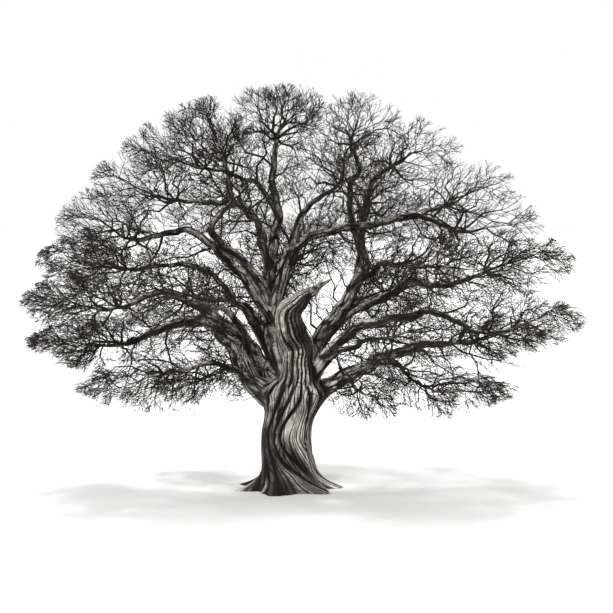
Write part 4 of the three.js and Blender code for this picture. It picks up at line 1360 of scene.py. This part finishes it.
def bough_tube(line):
    """The thin rest of a limb, from inside the network to the end of its stem: its mesh, ridges and age."""
    start = network_line(line)[1] - 2 * JOIN_LENGTH
    length = line["travelled"][-1]
    count = max(round((length - start) / BOUGH_RING_STEP), BOUGH_LEAST_RINGS)
    wanted = np.linspace(start, length, count + 1)

    def at(values):
        if values.ndim == 1:
            return np.interp(wanted, line["travelled"], values)
        return np.column_stack([np.interp(wanted, line["travelled"], values[:, k]) for k in range(3)])

    radii = at(line["radii"])
    sides = int(np.clip(round(2 * math.pi * radii[0] / BOUGH_SIDE_WIDTH), *BOUGH_SIDES))
    hidden = HIDDEN_SHARE + (1 - HIDDEN_SHARE) * smoothstep(wanted, start, start + JOIN_LENGTH)
    angle, travelled = ring_places(wanted, sides)
    spread = np.repeat(radii[:, None], sides, axis=1)
    relief = limb_relief(line["number"], travelled.ravel(), angle.ravel(), spread.ravel())
    bark, depth = (part.reshape(angle.shape) for part in relief)
    width = spread * hidden[:, None] + (bark - RIDGE_LEVEL) * depth
    circle = circles(at(line["across"]), at(line["aside"]), angle)
    rings = at(line["points"])[:, None] + circle * width[..., None]
    ridge = np.concatenate([bark.ravel(), [CAP_RIDGE, CAP_RIDGE]])
    age = np.concatenate([smoothstep(spread.ravel(), *AGE_RADII), [0, 0]])
    return ring_mesh(rings, bark), ridge, age


def make_bough_bark(lines):
    """The thin rest of every limb, joined."""
    meshes, ridges, ages = zip(*[bough_tube(line) for line in lines])
    return add_bark("bark_boughs", *stacked(meshes), np.concatenate(ridges), np.concatenate(ages))


# Finishes

class Shade:
    """One socket of a material's nodes. Python's operators on it add Math nodes."""

    def __init__(self, tree, socket=None):
        self.tree = tree
        self.socket = socket

    def add(self, kind, settings, values, output=0):
        """Adds a node: first its settings, then the values or links of its sockets."""
        node = self.tree.nodes.new(kind)
        for key, setting in settings.items():
            if key == "stops":
                ramp = node.color_ramp
                while len(ramp.elements) < len(setting):
                    ramp.elements.new(0.5)
                for element, (place, colour) in zip(ramp.elements, setting):
                    element.position = place
                    element.color = (*colour, 1.0)
            else:
                setattr(node, key, setting)
        for key, value in values.items():
            if isinstance(value, Shade):
                self.tree.links.new(value.socket, node.inputs[key])
            else:
                node.inputs[key].default_value = value
        return Shade(self.tree, node.outputs[output])

    def math(self, operation, *values):
        return self.add("ShaderNodeMath", {"operation": operation}, dict(enumerate(values)))

    def __add__(self, other):
        return self.math("ADD", self, other)

    __radd__ = __add__

    def __mul__(self, other):
        return self.math("MULTIPLY", self, other)

    __rmul__ = __mul__

    def __sub__(self, other):
        return self.math("SUBTRACT", self, other)

    def __rsub__(self, other):
        return self.math("SUBTRACT", other, self)


def new_finish(name, roughness):
    """A material with one plain shader, and the Shade that its nodes start from."""
    material = bpy.data.materials.new(name)
    material.use_nodes = True
    tree = material.node_tree
    shader = tree.nodes["Principled BSDF"]
    shader.inputs["Roughness"].default_value = roughness
    shader.inputs["Specular IOR Level"].default_value = SPECULAR
    return material, Shade(tree), shader


def mixed(shade, factor, first, second):
    """Two colours mixed by a factor."""
    return shade.add("ShaderNodeMix", {"data_type": "RGBA"}, {0: factor, 6: first, 7: second}, output=2)


def noise_of(shade, place, scale, detail=PLAIN_DETAIL):
    return shade.add("ShaderNodeTexNoise", {}, {"Vector": place, "Scale": scale, "Detail": detail})


def link(shader, key, shade):
    shade.tree.links.new(shade.socket, shader.inputs[key])


def bark_finish():
    """Grey-brown bark: near black in its furrows, partly its own colour and partly painted shade, pale on its
    ridges with a painted highlight, paler on top and darker beneath as painted light, with grey and greenish
    patches.
    """
    material, shade, shader = new_finish("oak_bark", ROUGHNESS["bark"])
    place = shade.add("ShaderNodeTexCoord", {}, {}, output=3)
    ridge = shade.add("ShaderNodeAttribute", {"attribute_name": "ridge"}, {}, output=2)
    age = shade.add("ShaderNodeAttribute", {"attribute_name": "age"}, {}, output=2)
    normal = shade.add("ShaderNodeNewGeometry", {}, {}, output=1)
    painted_top_light = shade.add("ShaderNodeSeparateXYZ", {}, {0: normal}, output=2)
    grain = noise_of(shade, place, GRAIN_SCALE, GRAIN_DETAIL)
    crumb = noise_of(shade, place, CRUMB_SCALE, CRUMB_DETAIL)
    # The ridge share makes the furrows dark and the crests pale: partly the bark's own colour, and partly
    # painted shade in the furrows and a painted highlight on the crests.
    tone = ridge * TONE["ridge"] + grain * TONE["grain"] + crumb * TONE["crumb"]
    # Faces that look up are made paler and faces that look down darker: painted light on the tops of the
    # limbs and painted shade beneath.
    tone = tone - TONE["drop"] + painted_top_light * TONE["painted_top_light"] + age * TONE["age"]
    bark_with_painted_shade_and_highlight = shade.add("ShaderNodeValToRGB", {"stops": BARK_STOPS_WITH_PAINTED_SHADE_AND_HIGHLIGHT}, {"Fac": tone})
    patch = noise_of(shade, place, LICHEN_SCALE)
    patched = shade.add("ShaderNodeMapRange", {}, {"Value": patch, 1: LICHEN_EDGES[0], 2: LICHEN_EDGES[1]})
    link(shader, "Base Color", mixed(shade, patched * ridge * LICHEN_SHARE, bark_with_painted_shade_and_highlight, LICHEN_COLOUR))
    height = ridge * BUMP["ridge"] + grain * BUMP["grain"] + crumb * BUMP["crumb"]
    bump = {"Strength": BUMP_STRENGTH, "Distance": BUMP_DISTANCE, "Height": height}
    link(shader, "Normal", shade.add("ShaderNodeBump", {}, bump))
    return material


def twig_finish(number, colour):
    """Twig bark in one plain tone, roughened by fine grain."""
    material, shade, shader = new_finish(f"oak_twigs_{number}", ROUGHNESS["twigs"])
    place = shade.add("ShaderNodeTexCoord", {}, {}, output=3)
    grain = noise_of(shade, place, TWIG_GRAIN_SCALE)
    dark = tuple(TWIG_DARK_SHARE * part for part in colour)
    link(shader, "Base Color", mixed(shade, grain, (*dark, 1.0), (*colour, 1.0)))
    return material


def floor_finish():
    material, _, shader = new_finish("pale_floor", ROUGHNESS["floor"])
    shader.inputs["Base Color"].default_value = (*FLOOR_COLOUR, 1.0)
    return material


# Twig pieces: the masses of each part of the crown, joined

def twig_mesh(levels):
    """The tubes of all levels, and the number of the twig that each triangle belongs to."""
    sets, owners = [], []
    for level in levels:
        sides = BRANCH_SIDES if level is levels[0] else TWIG_SIDES
        made = tubes(level["paths"], level["radii"], sides)
        count = len(level["radii"])
        sets.append(made)
        owners.append(np.repeat(np.arange(count), len(made[1]) // count))
    return stacked(sets), np.concatenate(owners)


def make_twig_pieces(masses, spaces):
    finishes = [twig_finish(number, colour) for number, colour in enumerate(TWIG_COLOURS)]
    numbers = {mass["limb"]["name"]: number for number, mass in enumerate(masses)}
    for name, members in TWIG_PARTS.items():
        meshes, tones, nodes = [], [], []
        for member in members:
            mass = masses[numbers[member]]
            for levels in (grow_mass(mass, numbers[member], spaces), grow_sprays(mass["limb"], spaces)):
                mesh, owners = twig_mesh(levels)
                meshes.append(mesh)
                tones.append(child_seed(mass["seed"], owners) % np.uint64(len(finishes)))
            nodes.append(mass["name"])
        piece = make_mesh(f"twigs_{name}", *stacked(meshes))
        for finish in finishes:
            piece.data.materials.append(finish)
        piece.data.polygons.foreach_set("material_index", np.concatenate(tones).astype(np.int32))
        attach(piece, "root")
        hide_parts(*nodes)


# Stage

def make_floor():
    corners = FLOOR_REACH * np.array([(-1, -1, 0), (1, -1, 0), (1, 1, 0), (-1, 1, 0)])
    floor = make_mesh("floor", corners - (0, 0, FLOOR_DROP), np.array([(0, 1, 2, 3)]))
    floor.data.materials.append(floor_finish())


def make_light():
    """A white sky and the lamps."""
    world = bpy.data.worlds.new("studio")
    world.use_nodes = True
    sky = world.node_tree.nodes["Background"]
    sky.inputs["Color"].default_value = (*SKY_COLOUR, 1.0)
    sky.inputs["Strength"].default_value = SKY_STRENGTH
    bpy.context.scene.world = world
    bpy.context.scene.view_settings.view_transform = "Standard"
    for name, (strength, softness, tilt) in LAMPS.items():
        sun = bpy.data.lights.new(name, "SUN")
        sun.energy = strength
        sun.angle = math.radians(softness)
        lamp = bpy.data.objects.new(name, sun)
        lamp.rotation_euler = tuple(math.radians(part) for part in tilt)
        bpy.context.scene.collection.objects.link(lamp)


def make_camera():
    camera = bpy.data.cameras.new("camera")
    camera.sensor_width = SENSOR
    camera.lens = PIXELS_PER_METRE * CAMERA_DISTANCE * SENSOR / PHOTO_SIDE
    camera.clip_end = CAMERA_CLIP_END
    stand = bpy.data.objects.new("camera", camera)
    back = CAMERA_DISTANCE * math.cos(CAMERA_ELEVATION)
    stand.location = (AIM[0], AIM[1] - back, AIM[2] + CAMERA_DISTANCE * math.sin(CAMERA_ELEVATION))
    stand.rotation_euler = (math.pi / 2 - CAMERA_ELEVATION, 0, 0)
    bpy.context.scene.collection.objects.link(stand)
    bpy.context.scene.camera = stand


def make_bark(limbs, masses):
    """The pieces of bark, and the nodes of the model that each one replaces."""
    names = [name for name in limbs if name != "trunk"]
    stems = {mass["limb"]["name"]: (mass["stem"], mass["stem_radii"]) for mass in masses}
    lines = [fine_line(limbs[name], *stems.get(name, (None, None))) for name in names]
    upper = [name for name in names if first_bough(limbs, name) in LEADERS]
    thick = [name for name in names if limbs[name]["radii"][0] >= THICK_LIMB]
    forks, leaders = make_network(lines, [limbs[name]["index"] for name in upper])
    pieces = [
        (make_trunk_bark(), ["trunk"]),
        (forks, [name for name in thick if name not in upper]),
        (leaders, [name for name in thick if name in upper]),
        (make_bough_bark(lines), [name for name in names if name not in thick]),
    ]
    finish = bark_finish()
    for piece, nodes in pieces:
        piece.data.materials.append(finish)
        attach(piece, "root")
        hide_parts(*nodes)


def main():
    limbs = make_limbs()
    masses = make_masses(limbs)
    spaces = Spaces(masses, limbs)
    make_bark(limbs, masses)
    make_twig_pieces(masses, spaces)
    make_floor()
    make_light()
    make_camera()


main()
